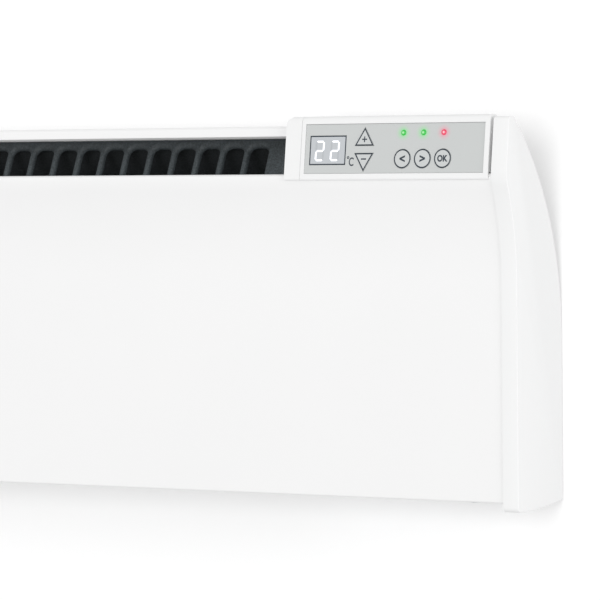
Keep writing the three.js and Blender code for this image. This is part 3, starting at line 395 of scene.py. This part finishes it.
def finish_makers():
    """What makes each finish, by the finish's name."""
    hues = bpy.context.scene.heater_colours
    lamps = [(face_point(x, LAMP_ROW, 0), hue) for x, hue in zip(LAMP_XS, PAINTED_GLOW_HUES)]
    return {
        "white powder coat": lambda: coated("White Powder Coat", hues.panel, 0.48, 1500.0, 0.03, 7.0, 0.012,
                                            **{"Specular IOR Level": 0.35}),
        "white moulding": lambda: coated("White Moulding", hues.moulding, 0.5, 2600.0, 0.012, 6.0, 0.01,
                                         **{"Specular IOR Level": 0.3}),
        "outlet coat": lambda: flecked("Outlet Coat", hues.outlet),
        "duct coat": lambda: flecked("Duct Coat", shaded(hues.outlet, 0.35), 0.75),
        "zinc plate": lambda: plated("Zinc Plate", (0.62, 0.64, 0.66), 0.36),
        "fin aluminium": lambda: plated("Fin Aluminium", (0.76, 0.77, 0.78), 0.3, 1.0, 500.0),
        "fascia foil": lambda: foil_with_painted_glow("Fascia Foil", hues.fascia, lamps),
        "key foil": lambda: coated("Key Foil", hues.keys, 0.44, 2400.0, 0.015, 60.0, 0.02),
        "slate ink": lambda: coated("Slate Ink", hues.ink, 0.5, 3000.0, 0.01, 80.0, 0.06),
        "display face": lambda: coated("Display Face", hues.display, 0.25, 3000.0, 0.008, 50.0, 0.02),
        "unlit segment": lambda: coated("Unlit Segment", shaded(hues.display, 0.88), 0.3, 3000.0, 0.008),
        "lit digit": lambda: glowing("Lit Digit", (0.9, 0.9, 0.95), (0.93, 0.95, 1.0), 0.5),
        "left green lamp": lambda: lamp_light("Left Green Lamp", lamps[0][0], *GREEN),
        "right green lamp": lambda: lamp_light("Right Green Lamp", lamps[1][0], *GREEN),
        "red lamp": lambda: lamp_light("Red Lamp", lamps[2][0], *RED),
        "black moulding": lambda: coated("Black Moulding", (0.03, 0.031, 0.034),
                                         0.5, 2200.0, 0.02, 30.0, 0.15),
        "grey moulding": lambda: coated("Grey Moulding", (0.5, 0.52, 0.53), 0.5, 2200.0, 0.02, 30.0, 0.06),
        "ceramic": lambda: coated("Ceramic", (0.78, 0.74, 0.64), 0.62, 1600.0, 0.04, 40.0, 0.05),
        "rubber": lambda: coated("Rubber", (0.025, 0.025, 0.026), 0.8, 1200.0, 0.05, 60.0, 0.2),
        "circuit board": lambda: coated("Circuit Board", (0.02, 0.12, 0.05), 0.35, 900.0, 0.03, 120.0, 0.25),
        "brown insulation": lambda: coated("Brown Insulation", (0.16, 0.06, 0.03),
                                           0.45, 2000.0, 0.02, 60.0, 0.1),
        "blue insulation": lambda: coated("Blue Insulation", (0.03, 0.09, 0.34),
                                          0.45, 2000.0, 0.02, 60.0, 0.1),
        "black insulation": lambda: coated("Black Insulation", (0.02, 0.02, 0.022),
                                           0.45, 2000.0, 0.02, 60.0, 0.2),
    }


# The tilted face

LAMP_ROW = 36.5
LAMP_XS = (-92.0, -71.4, -50.3)
GREEN = ((0.04, 0.52, 0.07), (0.62, 1.0, 0.6))
RED = ((0.8, 0.05, 0.12), (1.0, 0.8, 0.84))
# hues of the lamps' light as painted on the fascia foil
PAINTED_GLOW_HUES = ((0.1, 0.9, 0.16), (0.1, 0.9, 0.16), (1.0, 0.16, 0.3))
KEY_FRONT = -0.35
PRINT = 0.05
ROUND_KEYS = (("key_back", "back", -91.7), ("key_forward", "forward", -71.0), ("key_ok", "ok", -50.3))
KEY_ROW = 13.1
STEP_X = -131.9
WINDOW_X = (-189.2, -151.4)
WINDOW_S = (8.2, 34.4)
KEY_RADIUS = 8.48
STEP_HALF, STEP_RISE, PLUS_BASE, MINUS_BASE = 9.68, 16.1, 25.3, 18.3
PLUS_ROW, MINUS_ROW = 30.9, 13.1
BAR_HALF, BAR_REACH, MINUS_HALF = 0.55, 2.6, 0.62
DIGIT_XS, DIGIT_ROW = (("tens", -178.8), ("units", -162.9)), 20.8
DIGIT_SIZE = (9.4, 18.6, 1.7)  # width, height and stroke
DIGIT_SLANT = 0.04
UNDER_WINDOW = 0.1


def face_point(x, s, y):
    """A point of the tilted face in millimetres: x, s up the face, y into it."""
    return FACE_PLACE @ Vector((x * MM, y * MM, s * MM))


def on_face(bm, x=0.0, s=0.0, y=0.0):
    """Moves a mesh drawn in the face's own axes to its place on the heater."""
    bmesh.ops.transform(bm, matrix=FACE_PLACE @ Matrix.Translation((x * MM, y * MM, s * MM)), verts=bm.verts)


def flat_shape(corners):
    """A flat face from a few corners (x, s), in the face's own axes."""
    bm = bmesh.new()
    verts = [bm.verts.new((x * MM, 0, s * MM)) for x, s in corners]
    bm.faces.new(verts)
    bmesh.ops.recalc_face_normals(bm, faces=bm.faces[:])
    return bm


def print_band(bm, width):
    """Keeps a band of one width inside the rim of a flat shape and gives it the ink's thickness."""
    inner = bm.faces[:]
    bmesh.ops.inset_individual(bm, faces=inner, thickness=width * MM, use_even_offset=True)
    bmesh.ops.delete(bm, geom=inner, context="FACES_ONLY")
    raise_print(bm)


def raise_print(bm):
    """Gives flat faces the ink's thickness, towards the front."""
    bmesh.ops.recalc_face_normals(bm, faces=bm.faces[:])
    drawn = bmesh.ops.extrude_face_region(bm, geom=bm.faces[:])
    moved = [v for v in drawn["geom"] if isinstance(v, bmesh.types.BMVert)]
    bmesh.ops.translate(bm, verts=moved, vec=(0, -PRINT * MM, 0))
    bmesh.ops.recalc_face_normals(bm, faces=bm.faces[:])


def lettering(words, height, wide=1.0, weight=0.012):
    """Text drawn about its middle in the face's own axes, with the ink's thickness."""
    curve = bpy.data.curves.new("lettering", "FONT")
    curve.body = words
    curve.align_x = "CENTER"
    curve.align_y = "CENTER"
    curve.size = 1.0
    curve.offset = weight
    carrier = bpy.data.objects.new("lettering", curve)
    bpy.context.scene.collection.objects.link(carrier)
    bpy.context.view_layer.update()
    mesh = bpy.data.meshes.new_from_object(carrier.evaluated_get(bpy.context.evaluated_depsgraph_get()))
    bpy.data.objects.remove(carrier)
    bpy.data.curves.remove(curve)
    bm = bmesh.new()
    bm.from_mesh(mesh)
    bpy.data.meshes.remove(mesh)
    bmesh.ops.remove_doubles(bm, verts=bm.verts, dist=1e-5)
    low = Vector([min(v.co[i] for v in bm.verts) for i in range(3)])
    high = Vector([max(v.co[i] for v in bm.verts) for i in range(3)])
    scale = height * MM / (high.y - low.y)
    bmesh.ops.translate(bm, verts=bm.verts, vec=-(low + high) / 2)
    bmesh.ops.scale(bm, verts=bm.verts, vec=(scale * wide, scale, scale))
    bmesh.ops.rotate(bm, verts=bm.verts, cent=(0, 0, 0), matrix=Matrix.Rotation(math.radians(90), 3, "X"))
    raise_print(bm)
    return bm


class HeaterSizes(bpy.types.PropertyGroup):
    panel_sheet: bpy.props.FloatProperty(
        name="Panel Sheet", description="Thickness of the front panel's sheet", default=1.0 * MM,
        unit="LENGTH")
    cap_wall: bpy.props.FloatProperty(
        name="Cap Wall", description="Wall of the moulded end caps", default=2.4 * MM, unit="LENGTH")
    cap_edge: bpy.props.FloatProperty(
        name="Cap Edge", description="Rounding of the end caps' outer rim", default=2.4 * MM, unit="LENGTH")
    outline_width: bpy.props.FloatProperty(
        name="Outline Width", description="Width of the lines printed round the keys", default=1.05 * MM,
        unit="LENGTH")
    camera_lens: bpy.props.FloatProperty(
        name="Lens", description="Focal length of the camera in millimetres", default=243.73)


class HeaterColours(bpy.types.PropertyGroup):
    panel: bpy.props.FloatVectorProperty(
        name="Panel", description="Powder coat of the panels", subtype="COLOR", default=(0.9, 0.9, 0.9))
    moulding: bpy.props.FloatVectorProperty(
        name="Moulding", description="End caps and cassette covers", subtype="COLOR",
        default=(0.88, 0.883, 0.883))
    outlet: bpy.props.FloatVectorProperty(
        name="Outlet", description="Coat of the outlet grille", subtype="COLOR", default=(0.03, 0.038, 0.042))
    fascia: bpy.props.FloatVectorProperty(
        name="Fascia", description="Foil of the fascia", subtype="COLOR", default=(0.59, 0.607, 0.602))
    keys: bpy.props.FloatVectorProperty(
        name="Keys", description="Foil of the keys", subtype="COLOR", default=(0.605, 0.624, 0.622))
    ink: bpy.props.FloatVectorProperty(
        name="Ink", description="Printed signs and outlines", subtype="COLOR", default=(0.022, 0.034, 0.05))
    display: bpy.props.FloatVectorProperty(
        name="Display", description="Face of the display", subtype="COLOR", default=(0.55, 0.575, 0.6))


# Shells

def build_front_panel(sizes):
    """The front panel: a turned hem at the foot, the bend, and the rounded nose with its inner hem."""
    bm = outline((70.3, 7.7), (82.3, 7.7), (82.3, 205.02), ((323.5, 205.02), 19.87, 24),
                 (98.5, 293.6), (99.0, 300.2), (92.6, 300.2), (92.6, 288.2))
    round_corners(bm, [((82.3, 7.7), 2.0), ((99.0, 300.2), 3.4), ((92.6, 300.2), 2.2)])
    draw_out(bm, -PANEL_END, PANEL_END)
    bmesh.ops.recalc_face_normals(bm, faces=bm.faces[:])
    faces = bm.faces[:]
    outward = sum(f.normal.y * f.calc_area() for f in faces) < 0
    bmesh.ops.solidify(bm, geom=faces, thickness=sizes.panel_sheet if outward else -sizes.panel_sheet)
    bmesh.ops.recalc_face_normals(bm, faces=bm.faces[:])
    return piece("front_shell", bm, finish("white powder coat"), "heater", ["front_panel"])


def build_end_cap(sizes, way):
    """A moulded end cap: the whole side outline with a rounded rim, hollow towards the body."""
    bm = outline((0.5, 6.0), (0.5, 153.9), ((265.5, 153.9), 46.34, 28), (84.4, 350.0), (94.54, 350.0),
                 (101.36, 296.0), (98.3, 288.0), ((323.5, 205.02), -20.23, 20), (83.5, 0.0),
                 (78.5, 0.0), ((78.5, 510.0), 8.76, 10))
    round_corners(bm, [((101.36, 296.0), 7.6), ((84.4, 350.0), 1.9), ((94.54, 350.0), 3.0),
                       ((83.5, 0.0), 4.8)], 8)
    bmesh.ops.remove_doubles(bm, verts=bm.verts, dist=0.08 * MM)
    bmesh.ops.contextual_create(bm, geom=bm.edges[:])
    rim = extrude_faces(bm, bm.faces[:], (CAP_WIDTH, 0, 0))
    soften(bm, list({e for f in rim for e in f.edges}), sizes.cap_edge, 5)
    mouth = [f for f in bm.faces if all(abs(v.co.x) < 1e-7 for v in f.verts)]
    bmesh.ops.inset_individual(bm, faces=mouth, thickness=sizes.cap_wall, use_even_offset=True)
    extrude_faces(bm, mouth, (CAP_WIDTH - sizes.cap_wall, 0, 0))
    for u, z in CAP_BOSSES:
        add_boss(bm, side(u, z), CAP_WIDTH - sizes.cap_wall)
    bmesh.ops.recalc_face_normals(bm, faces=bm.faces[:])
    bmesh.ops.translate(bm, verts=bm.verts, vec=(BODY_END, 0, 0))
    if way < 0:
        bmesh.ops.scale(bm, verts=bm.verts, vec=(-1, 1, 1))
        bmesh.ops.reverse_faces(bm, faces=bm.faces[:])
    end = "right" if way > 0 else "left"
    return piece(f"cap_{end}_shell", bm, finish("white moulding"), "heater",
                 [f"end_cap_{end}"])


def slot_rim(bm, centre, spread, depth):
    """One level of a slot's rolled rim: the slot's outline widened by spread, at a depth below the band."""
    half, low, high = SLOT_HALF + SIDE_SHARE * spread, SLOT_FOOT, SLOT_HEAD + spread
    known = set(bm.edges)
    corners = [(-half, low), (-half, high), (half, high), (half, low)]
    verts = [bm.verts.new((centre + x * MM, depth * MM, t * MM)) for x, t in corners]
    for a, b in zip(verts, verts[1:] + verts[:1]):
        bm.edges.new((a, b))
    bmesh.ops.bevel(bm, geom=verts[1:3], offset=(SLOT_CORNER + CORNER_SHARE * spread) * MM,
                    offset_type="OFFSET", segments=8, profile=0.5, affect="VERTICES", material=-1)
    return [e for e in bm.edges if e not in known]


def build_outlet_grille():
    """The outlet's band: rounded ridges stand between slots whose rims roll down into the duct."""
    bm = bmesh.new()
    band = flat_band(bm, GRILLE_SPAN, BAND_RISE)
    rims = []
    for i in range(SLOT_COUNT):
        centre = (FIRST_SLOT - i * SLOT_PITCH) * MM
        levels = [slot_rim(bm, centre, RIM_SPREAD * (1 - math.sin(a)), RIM_DEPTH * (1 - math.cos(a)))
                  for a in (math.radians(d) for d in RIM_TURNS)]
        for upper, lower in zip(levels, levels[1:]):
            bmesh.ops.bridge_loops(bm, edges=upper + lower)
        rims += levels[0]
    bmesh.ops.triangle_fill(bm, edges=band + rims, use_beauty=True)
    bmesh.ops.recalc_face_normals(bm, faces=bm.faces[:])
    tilt = math.atan2(GRILLE_FOOT[0] - GRILLE_HEAD[0], GRILLE_HEAD[1] - GRILLE_FOOT[1])
    place = Matrix.Translation(side(*GRILLE_FOOT)) @ Matrix.Rotation(-tilt, 4, "X")
    bmesh.ops.transform(bm, matrix=place, verts=bm.verts)
    return piece("outlet_band", bm, finish("outlet coat"), "heater",
                 ["outlet_grille_left", "outlet_grille_right"], crease=50)


def flat_band(bm, span, rise):
    """The outer rim of a flat band, as edges."""
    verts = [bm.verts.new((x, 0, t * MM)) for x, t in
             ((span[0], rise[0]), (span[1], rise[0]), (span[1], rise[1]), (span[0], rise[1]))]
    return [bm.edges.new((a, b)) for a, b in zip(verts, verts[1:] + verts[:1])]


class HEATER_OT_outlet_grille(bpy.types.Operator):
    """Make the outlet grille with its rolled slots"""
    bl_idname = "heater.outlet_grille"
    bl_label = "Outlet Grille"

    def execute(self, context):
        build_outlet_grille()
        return {"FINISHED"}


class HEATER_OT_front_panel(bpy.types.Operator):
    """Make the smooth front panel"""
    bl_idname = "heater.front_panel"
    bl_label = "Front Panel"

    def execute(self, context):
        build_front_panel(context.scene.heater_sizes)
        return {"FINISHED"}


class HEATER_OT_end_caps(bpy.types.Operator):
    """Make the two moulded end caps"""
    bl_idname = "heater.end_caps"
    bl_label = "End Caps"

    def execute(self, context):
        for way in (1, -1):
            build_end_cap(context.scene.heater_sizes, way)
        return {"FINISHED"}


KEPT_FINISHES = {
    "zinc plate": ("bracket_rail", "bracket_arm_left", "bracket_arm_right", "gable_right", "gable_left",
                   "cap_screw_1", "cap_screw_2", "cap_screw_3", "cap_screw_4", "partition",
                   "element_hanger_left", "element_hanger_right", "cutout_clip", "service_cover"),
    "white powder coat": ("front_panel", "back_panel"),
    "white moulding": ("end_cap_right", "end_cap_left", "cassette_bezel", "cassette_side_block",
                       "cassette_housing"),
    "outlet coat": ("outlet_grille_left", "outlet_grille_right", "intake_grille"),
    "duct coat": ("inner_deflector",),
    "fin aluminium": ("finned_element",),
    "ceramic": ("element_bush_left", "element_bush_right", "terminal_block"),
    "black moulding": ("thermal_cutout", "room_sensor", "cassette_bay", "display_module", "switch_1",
                       "switch_2", "switch_3", "switch_4", "switch_5", "relay", "transformer"),
    "grey moulding": ("cable_gland", "gland_nut", "bay_socket", "plug_connector"),
    "rubber": ("wall_buffer_left", "wall_buffer_right"),
    "fascia foil": ("fascia",),
    "key foil": ("key_plus", "key_minus", "key_back", "key_forward", "key_ok"),
    "display face": ("display_window",),
    "circuit board": ("circuit_board",),
    "left green lamp": ("led_1",),
    "right green lamp": ("led_2",),
    "red lamp": ("led_3",),
    "brown insulation": ("wire_live",),
    "blue insulation": ("wire_neutral",),
    "black insulation": ("wire_element",),
}


class HEATER_OT_finishes(bpy.types.Operator):
    """Give every carried-over node its finish"""
    bl_idname = "heater.finishes"
    bl_label = "Finishes"

    def execute(self, context):
        dressed = {node: name for name, nodes in KEPT_FINISHES.items() for node in nodes}
        for node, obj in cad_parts.items():
            obj.data.materials.clear()
            obj.data.materials.append(finish(dressed[node]))
        return {"FINISHED"}


def print_key_outlines(width):
    """The dark lines round the five keys and the display."""
    for node, body, x in ROUND_KEYS:
        bm = bmesh.new()
        bmesh.ops.create_circle(bm, cap_ends=True, segments=72, radius=KEY_RADIUS * MM,
                                matrix=Matrix.Rotation(math.radians(90), 4, "X"))
        print_band(bm, width)
        on_face(bm, x, KEY_ROW, KEY_FRONT)
        piece(f"{node}_outline", bm, finish("slate ink"), body)
    for node, body, base, rise in (("key_plus", "plus", PLUS_BASE, STEP_RISE),
                                   ("key_minus", "minus", MINUS_BASE, -STEP_RISE)):
        bm = flat_shape([(-STEP_HALF, base), (STEP_HALF, base), (0, base + rise)])
        print_band(bm, width)
        on_face(bm, STEP_X, 0, KEY_FRONT)
        piece(f"{node}_outline", bm, finish("slate ink"), body)
    (x0, x1), (s0, s1) = WINDOW_X, WINDOW_S
    bm = flat_shape([(x0, s0), (x1, s0), (x1, s1), (x0, s1)])
    print_band(bm, width * 0.85)
    on_face(bm, 0, 0, UNDER_WINDOW)
    piece("display_outline", bm, finish("slate ink"), "cassette")


def bars(*spans):
    """Printed bars, each given by its x and s spans about a sign's middle."""
    bm = bmesh.new()
    for (x0, x1), (s0, s1) in spans:
        block(bm, (x0 * MM, -PRINT * MM, s0 * MM), (x1 * MM, 0, s1 * MM))
    return bm


def print_signs():
    """Plus, minus, arrows, OK and the degree sign."""
    upright = (-BAR_HALF, BAR_HALF)
    plus = bars(((-BAR_REACH, BAR_REACH), upright), (upright, (-BAR_REACH, -BAR_HALF)),
                (upright, (BAR_HALF, BAR_REACH)))
    on_face(plus, STEP_X, PLUS_ROW, KEY_FRONT)
    piece("sign_plus", plus, finish("slate ink"), "plus")
    minus = bars(((-BAR_REACH, BAR_REACH), (-MINUS_HALF, MINUS_HALF)))
    on_face(minus, STEP_X, MINUS_ROW, KEY_FRONT)
    piece("sign_minus", minus, finish("slate ink"), "minus")
    arrow, letters = (6.2, 1.0, 0.034), (6.0, 0.88, 0.04)  # height, width and weight
    for (_, body, x), words, cut in zip(ROUND_KEYS, ("<", ">", "OK"), (arrow, arrow, letters)):
        sign = lettering(words, *cut)
        on_face(sign, x, KEY_ROW, KEY_FRONT)
        piece(f"sign_{body}", sign, finish("slate ink"), body)
    unit = lettering("C", 7.8, 0.72, 0.014)
    on_face(unit, -144.9, 10.8, 0)
    piece("sign_unit", unit, finish("slate ink"), "cassette")
    degree = bmesh.new()
    bmesh.ops.create_circle(degree, cap_ends=True, segments=32, radius=1.25 * MM,
                            matrix=Matrix.Rotation(math.radians(90), 4, "X"))
    print_band(degree, 0.7)
    on_face(degree, -148.4, 14.6, 0)
    piece("sign_degree", degree, finish("slate ink"), "cassette")


SEGMENTS = {"a": ((0, 1), "flat"), "b": ((1, 0.5), "tall"), "c": ((1, -0.5), "tall"), "d": ((0, -1), "flat"),
            "e": ((-1, -0.5), "tall"), "f": ((-1, 0.5), "tall"), "g": ((0, 0), "flat")}


def digit_segments(letters, width, height, stroke):
    """Bars of one seven-segment digit about its middle, with pointed ends and a slight slant."""
    bm = bmesh.new()
    half_w, half_h = width / 2 - stroke / 2, height / 2 - stroke / 2
    for letter in letters:
        (column, row), way = SEGMENTS[letter]
        x, s = column * half_w, row * half_h
        run = (half_w if way == "flat" else half_h / 2) - 0.25
        across = stroke / 2
        corners = [(-run, 0), (-run + across, across), (run - across, across), (run, 0),
                   (run - across, -across), (-run + across, -across)]
        if way == "tall":
            corners = [(-b, a) for a, b in corners]
        bm.faces.new([bm.verts.new(((x + a) * MM, 0, (s + b) * MM)) for a, b in corners])
    raise_print(bm)
    for v in bm.verts:
        v.co.x += v.co.z * DIGIT_SLANT
    return bm


def show_temperature():
    """The display's two lit digits over their unlit segments."""
    for name, x in DIGIT_XS:
        lit = digit_segments("abged", *DIGIT_SIZE)
        on_face(lit, x, DIGIT_ROW, UNDER_WINDOW)
        piece(f"digit_{name}", lit, finish("lit digit"), "cassette")
        unlit = digit_segments("cf", *DIGIT_SIZE)
        on_face(unlit, x, DIGIT_ROW, UNDER_WINDOW)
        piece(f"digit_{name}_unlit", unlit, finish("unlit segment"), "cassette")


class HEATER_OT_fascia_print(bpy.types.Operator):
    """Print the key outlines and signs and light the display"""
    bl_idname = "heater.fascia_print"
    bl_label = "Fascia Print"

    def execute(self, context):
        print_key_outlines(context.scene.heater_sizes.outline_width / MM)
        print_signs()
        show_temperature()
        return {"FINISHED"}


# Studio

CAMERA_PLACE = (2.12897, -3.21171, 0.16744)
KEY_SUN_HEADING, KEY_SUN_SPREAD = (-0.16, 1.0, -0.12), 30.0
SIDE_SUN_HEADING, SIDE_SUN_SPREAD = (-1.0, 0.24, -0.12), 40.0
BACKDROP_SIZE = 4.0
WALL_BEHIND = 0.6 * MM
FLOOR_DROP = 0.5
CAMERA_YAW, CAMERA_PITCH, CAMERA_ROLL = (math.radians(d) for d in (32.126, -2.042, -0.548))


def add_camera(lens):
    """The camera that was fitted to the photograph."""
    level = math.cos(CAMERA_PITCH)
    ahead = Vector((-math.sin(CAMERA_YAW) * level, math.cos(CAMERA_YAW) * level, math.sin(CAMERA_PITCH)))
    right = Vector((math.cos(CAMERA_YAW), math.sin(CAMERA_YAW), 0))
    up = right.cross(ahead)
    turned_right = right * math.cos(CAMERA_ROLL) + up * math.sin(CAMERA_ROLL)
    turned_up = up * math.cos(CAMERA_ROLL) - right * math.sin(CAMERA_ROLL)
    data = bpy.data.cameras.new("photo_camera")
    data.lens = lens
    data.sensor_width = 36
    camera = bpy.data.objects.new("photo_camera", data)
    columns = Matrix((turned_right, turned_up, -ahead)).transposed().to_4x4()
    camera.matrix_world = Matrix.Translation(CAMERA_PLACE) @ columns
    bpy.context.scene.collection.objects.link(camera)
    bpy.context.scene.camera = camera


def add_sun(name, heading, spread, power):
    """A far lamp that shines along a heading; its spread in degrees softens the shadows."""
    data = bpy.data.lights.new(name, "SUN")
    data.angle = math.radians(spread)
    data.energy = power * math.pi
    lamp = bpy.data.objects.new(name, data)
    lamp.matrix_world = Vector(heading).to_track_quat("-Z", "Y").to_matrix().to_4x4()
    bpy.context.scene.collection.objects.link(lamp)


def backdrop_finish(name, colour, seen):
    """A pale surface that shows to the eye from its front only, and lets other light pass."""
    material = bpy.data.materials.new(name)
    material.use_nodes = True
    tree = material.node_tree
    tree.nodes.clear()
    where = put(tree, "ShaderNodeTexCoord").outputs["Object"]
    coat = group_node(tree, "Coat Grain", {"Vector": where, "Grain Scale": 60.0, "Drift Scale": 1.5})
    tone = blend_colour(tree, coat.outputs["Drift"], shaded_free(colour, seen * 0.995),
                        shaded_free(colour, seen * 1.005))
    body = put(tree, "ShaderNodeBsdfDiffuse", {"Color": tone})
    clear = put(tree, "ShaderNodeBsdfTransparent")
    path = put(tree, "ShaderNodeLightPath").outputs
    back = put(tree, "ShaderNodeNewGeometry").outputs["Backfacing"]
    glossy = put(tree, "ShaderNodeMath", {0: path["Is Camera Ray"], 1: path["Is Glossy Ray"]},
                 operation="ADD").outputs["Value"]
    seen_by = put(tree, "ShaderNodeMath", {0: glossy, 1: path["Is Transmission Ray"]}, operation="ADD",
                  use_clamp=True).outputs["Value"]
    front = put(tree, "ShaderNodeMath", {0: seen_by, 1: back}, operation="SUBTRACT",
                use_clamp=True).outputs["Value"]
    mix = put(tree, "ShaderNodeMixShader", {0: front, 1: clear.outputs[0], 2: body.outputs[0]})
    put(tree, "ShaderNodeOutputMaterial", {"Surface": mix.outputs[0]})
    return material


def shaded_free(colour, factor):
    """A colour made lighter or darker, which may pass full white."""
    return tuple(c * factor for c in colour[:3]) + (1.0,)


def add_backdrop(name, matrix, size, finish_made):
    """A square of the set, which stays out of the part."""
    bm = bmesh.new()
    bmesh.ops.create_grid(bm, x_segments=1, y_segments=1, size=size, matrix=matrix)
    mesh = bpy.data.meshes.new(name)
    bm.to_mesh(mesh)
    bm.free()
    mesh.materials.append(finish_made)
    obj = bpy.data.objects.new(name, mesh)
    bpy.context.scene.collection.objects.link(obj)


class HeaterStudio(bpy.types.PropertyGroup):
    key_power: bpy.props.FloatProperty(
        name="Key", description="Share of the light that comes from the front", default=0.3)
    side_power: bpy.props.FloatProperty(
        name="Side", description="Share of the light that comes from the right", default=0.31)
    sky: bpy.props.FloatProperty(name="Sky", description="Strength of the even light around", default=0.66)
    wall_tone: bpy.props.FloatProperty(
        name="Wall Tone", description="How bright the wall shows to the camera", default=1.05)


class HEATER_OT_stage(bpy.types.Operator):
    """Set the wall, the floor, the lamps and the camera"""
    bl_idname = "heater.stage"
    bl_label = "Stage"

    def execute(self, context):
        studio = context.scene.heater_studio
        wall = backdrop_finish("Wall Paint", (1, 1, 1), studio.wall_tone)
        floor = backdrop_finish("Floor Paint", (0.97, 0.97, 0.96), studio.wall_tone)
        upright = Matrix.Translation((0, WALL_BEHIND, 0)) @ Matrix.Rotation(math.radians(90), 4, "X")
        level = Matrix.Translation((0, WALL_BEHIND - BACKDROP_SIZE, -FLOOR_DROP))
        add_backdrop("wall", upright, BACKDROP_SIZE, wall)
        add_backdrop("floor", level, BACKDROP_SIZE, floor)
        add_sun("key_sun", KEY_SUN_HEADING, KEY_SUN_SPREAD, studio.key_power)
        add_sun("side_sun", SIDE_SUN_HEADING, SIDE_SUN_SPREAD, studio.side_power)
        world = bpy.data.worlds.new("studio_sky")
        world.use_nodes = True
        sky = world.node_tree.nodes["Background"]
        sky.inputs["Color"].default_value = (1, 1, 1, 1)
        sky.inputs["Strength"].default_value = studio.sky
        context.scene.world = world
        context.scene.view_settings.view_transform = "Standard"
        add_camera(context.scene.heater_sizes.camera_lens)
        return {"FINISHED"}


class HEATER_PT_panel(bpy.types.Panel):
    """The heater's operators and settings"""
    bl_idname = "HEATER_PT_panel"
    bl_label = "Panel Heater"
    bl_space_type = "VIEW_3D"
    bl_region_type = "UI"
    bl_category = "Heater"

    def draw(self, context):
        for step in STEPS:
            self.layout.operator(step.bl_idname)
        for group in (context.scene.heater_sizes, context.scene.heater_colours, context.scene.heater_studio):
            for key in group.__annotations__:
                self.layout.prop(group, key)


STEPS = (HEATER_OT_front_panel, HEATER_OT_end_caps, HEATER_OT_outlet_grille, HEATER_OT_finishes,
         HEATER_OT_fascia_print, HEATER_OT_stage)
CLASSES = (HeaterSizes, HeaterColours, HeaterStudio, *STEPS, HEATER_PT_panel)


def register():
    """Adds the operators, the panel and their settings to Blender."""
    for cls in CLASSES:
        bpy.utils.register_class(cls)
    bpy.types.Scene.heater_sizes = bpy.props.PointerProperty(type=HeaterSizes)
    bpy.types.Scene.heater_colours = bpy.props.PointerProperty(type=HeaterColours)
    bpy.types.Scene.heater_studio = bpy.props.PointerProperty(type=HeaterStudio)


def unregister():
    """Takes them out again."""
    del bpy.types.Scene.heater_sizes, bpy.types.Scene.heater_colours, bpy.types.Scene.heater_studio
    for cls in reversed(CLASSES):
        bpy.utils.unregister_class(cls)


def main():
    """Registers the add-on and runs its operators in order."""
    register()
    for step in STEPS:
        family, name = step.bl_idname.split(".")
        getattr(getattr(bpy.ops, family), name)()


if __name__ == "__main__":
    main()
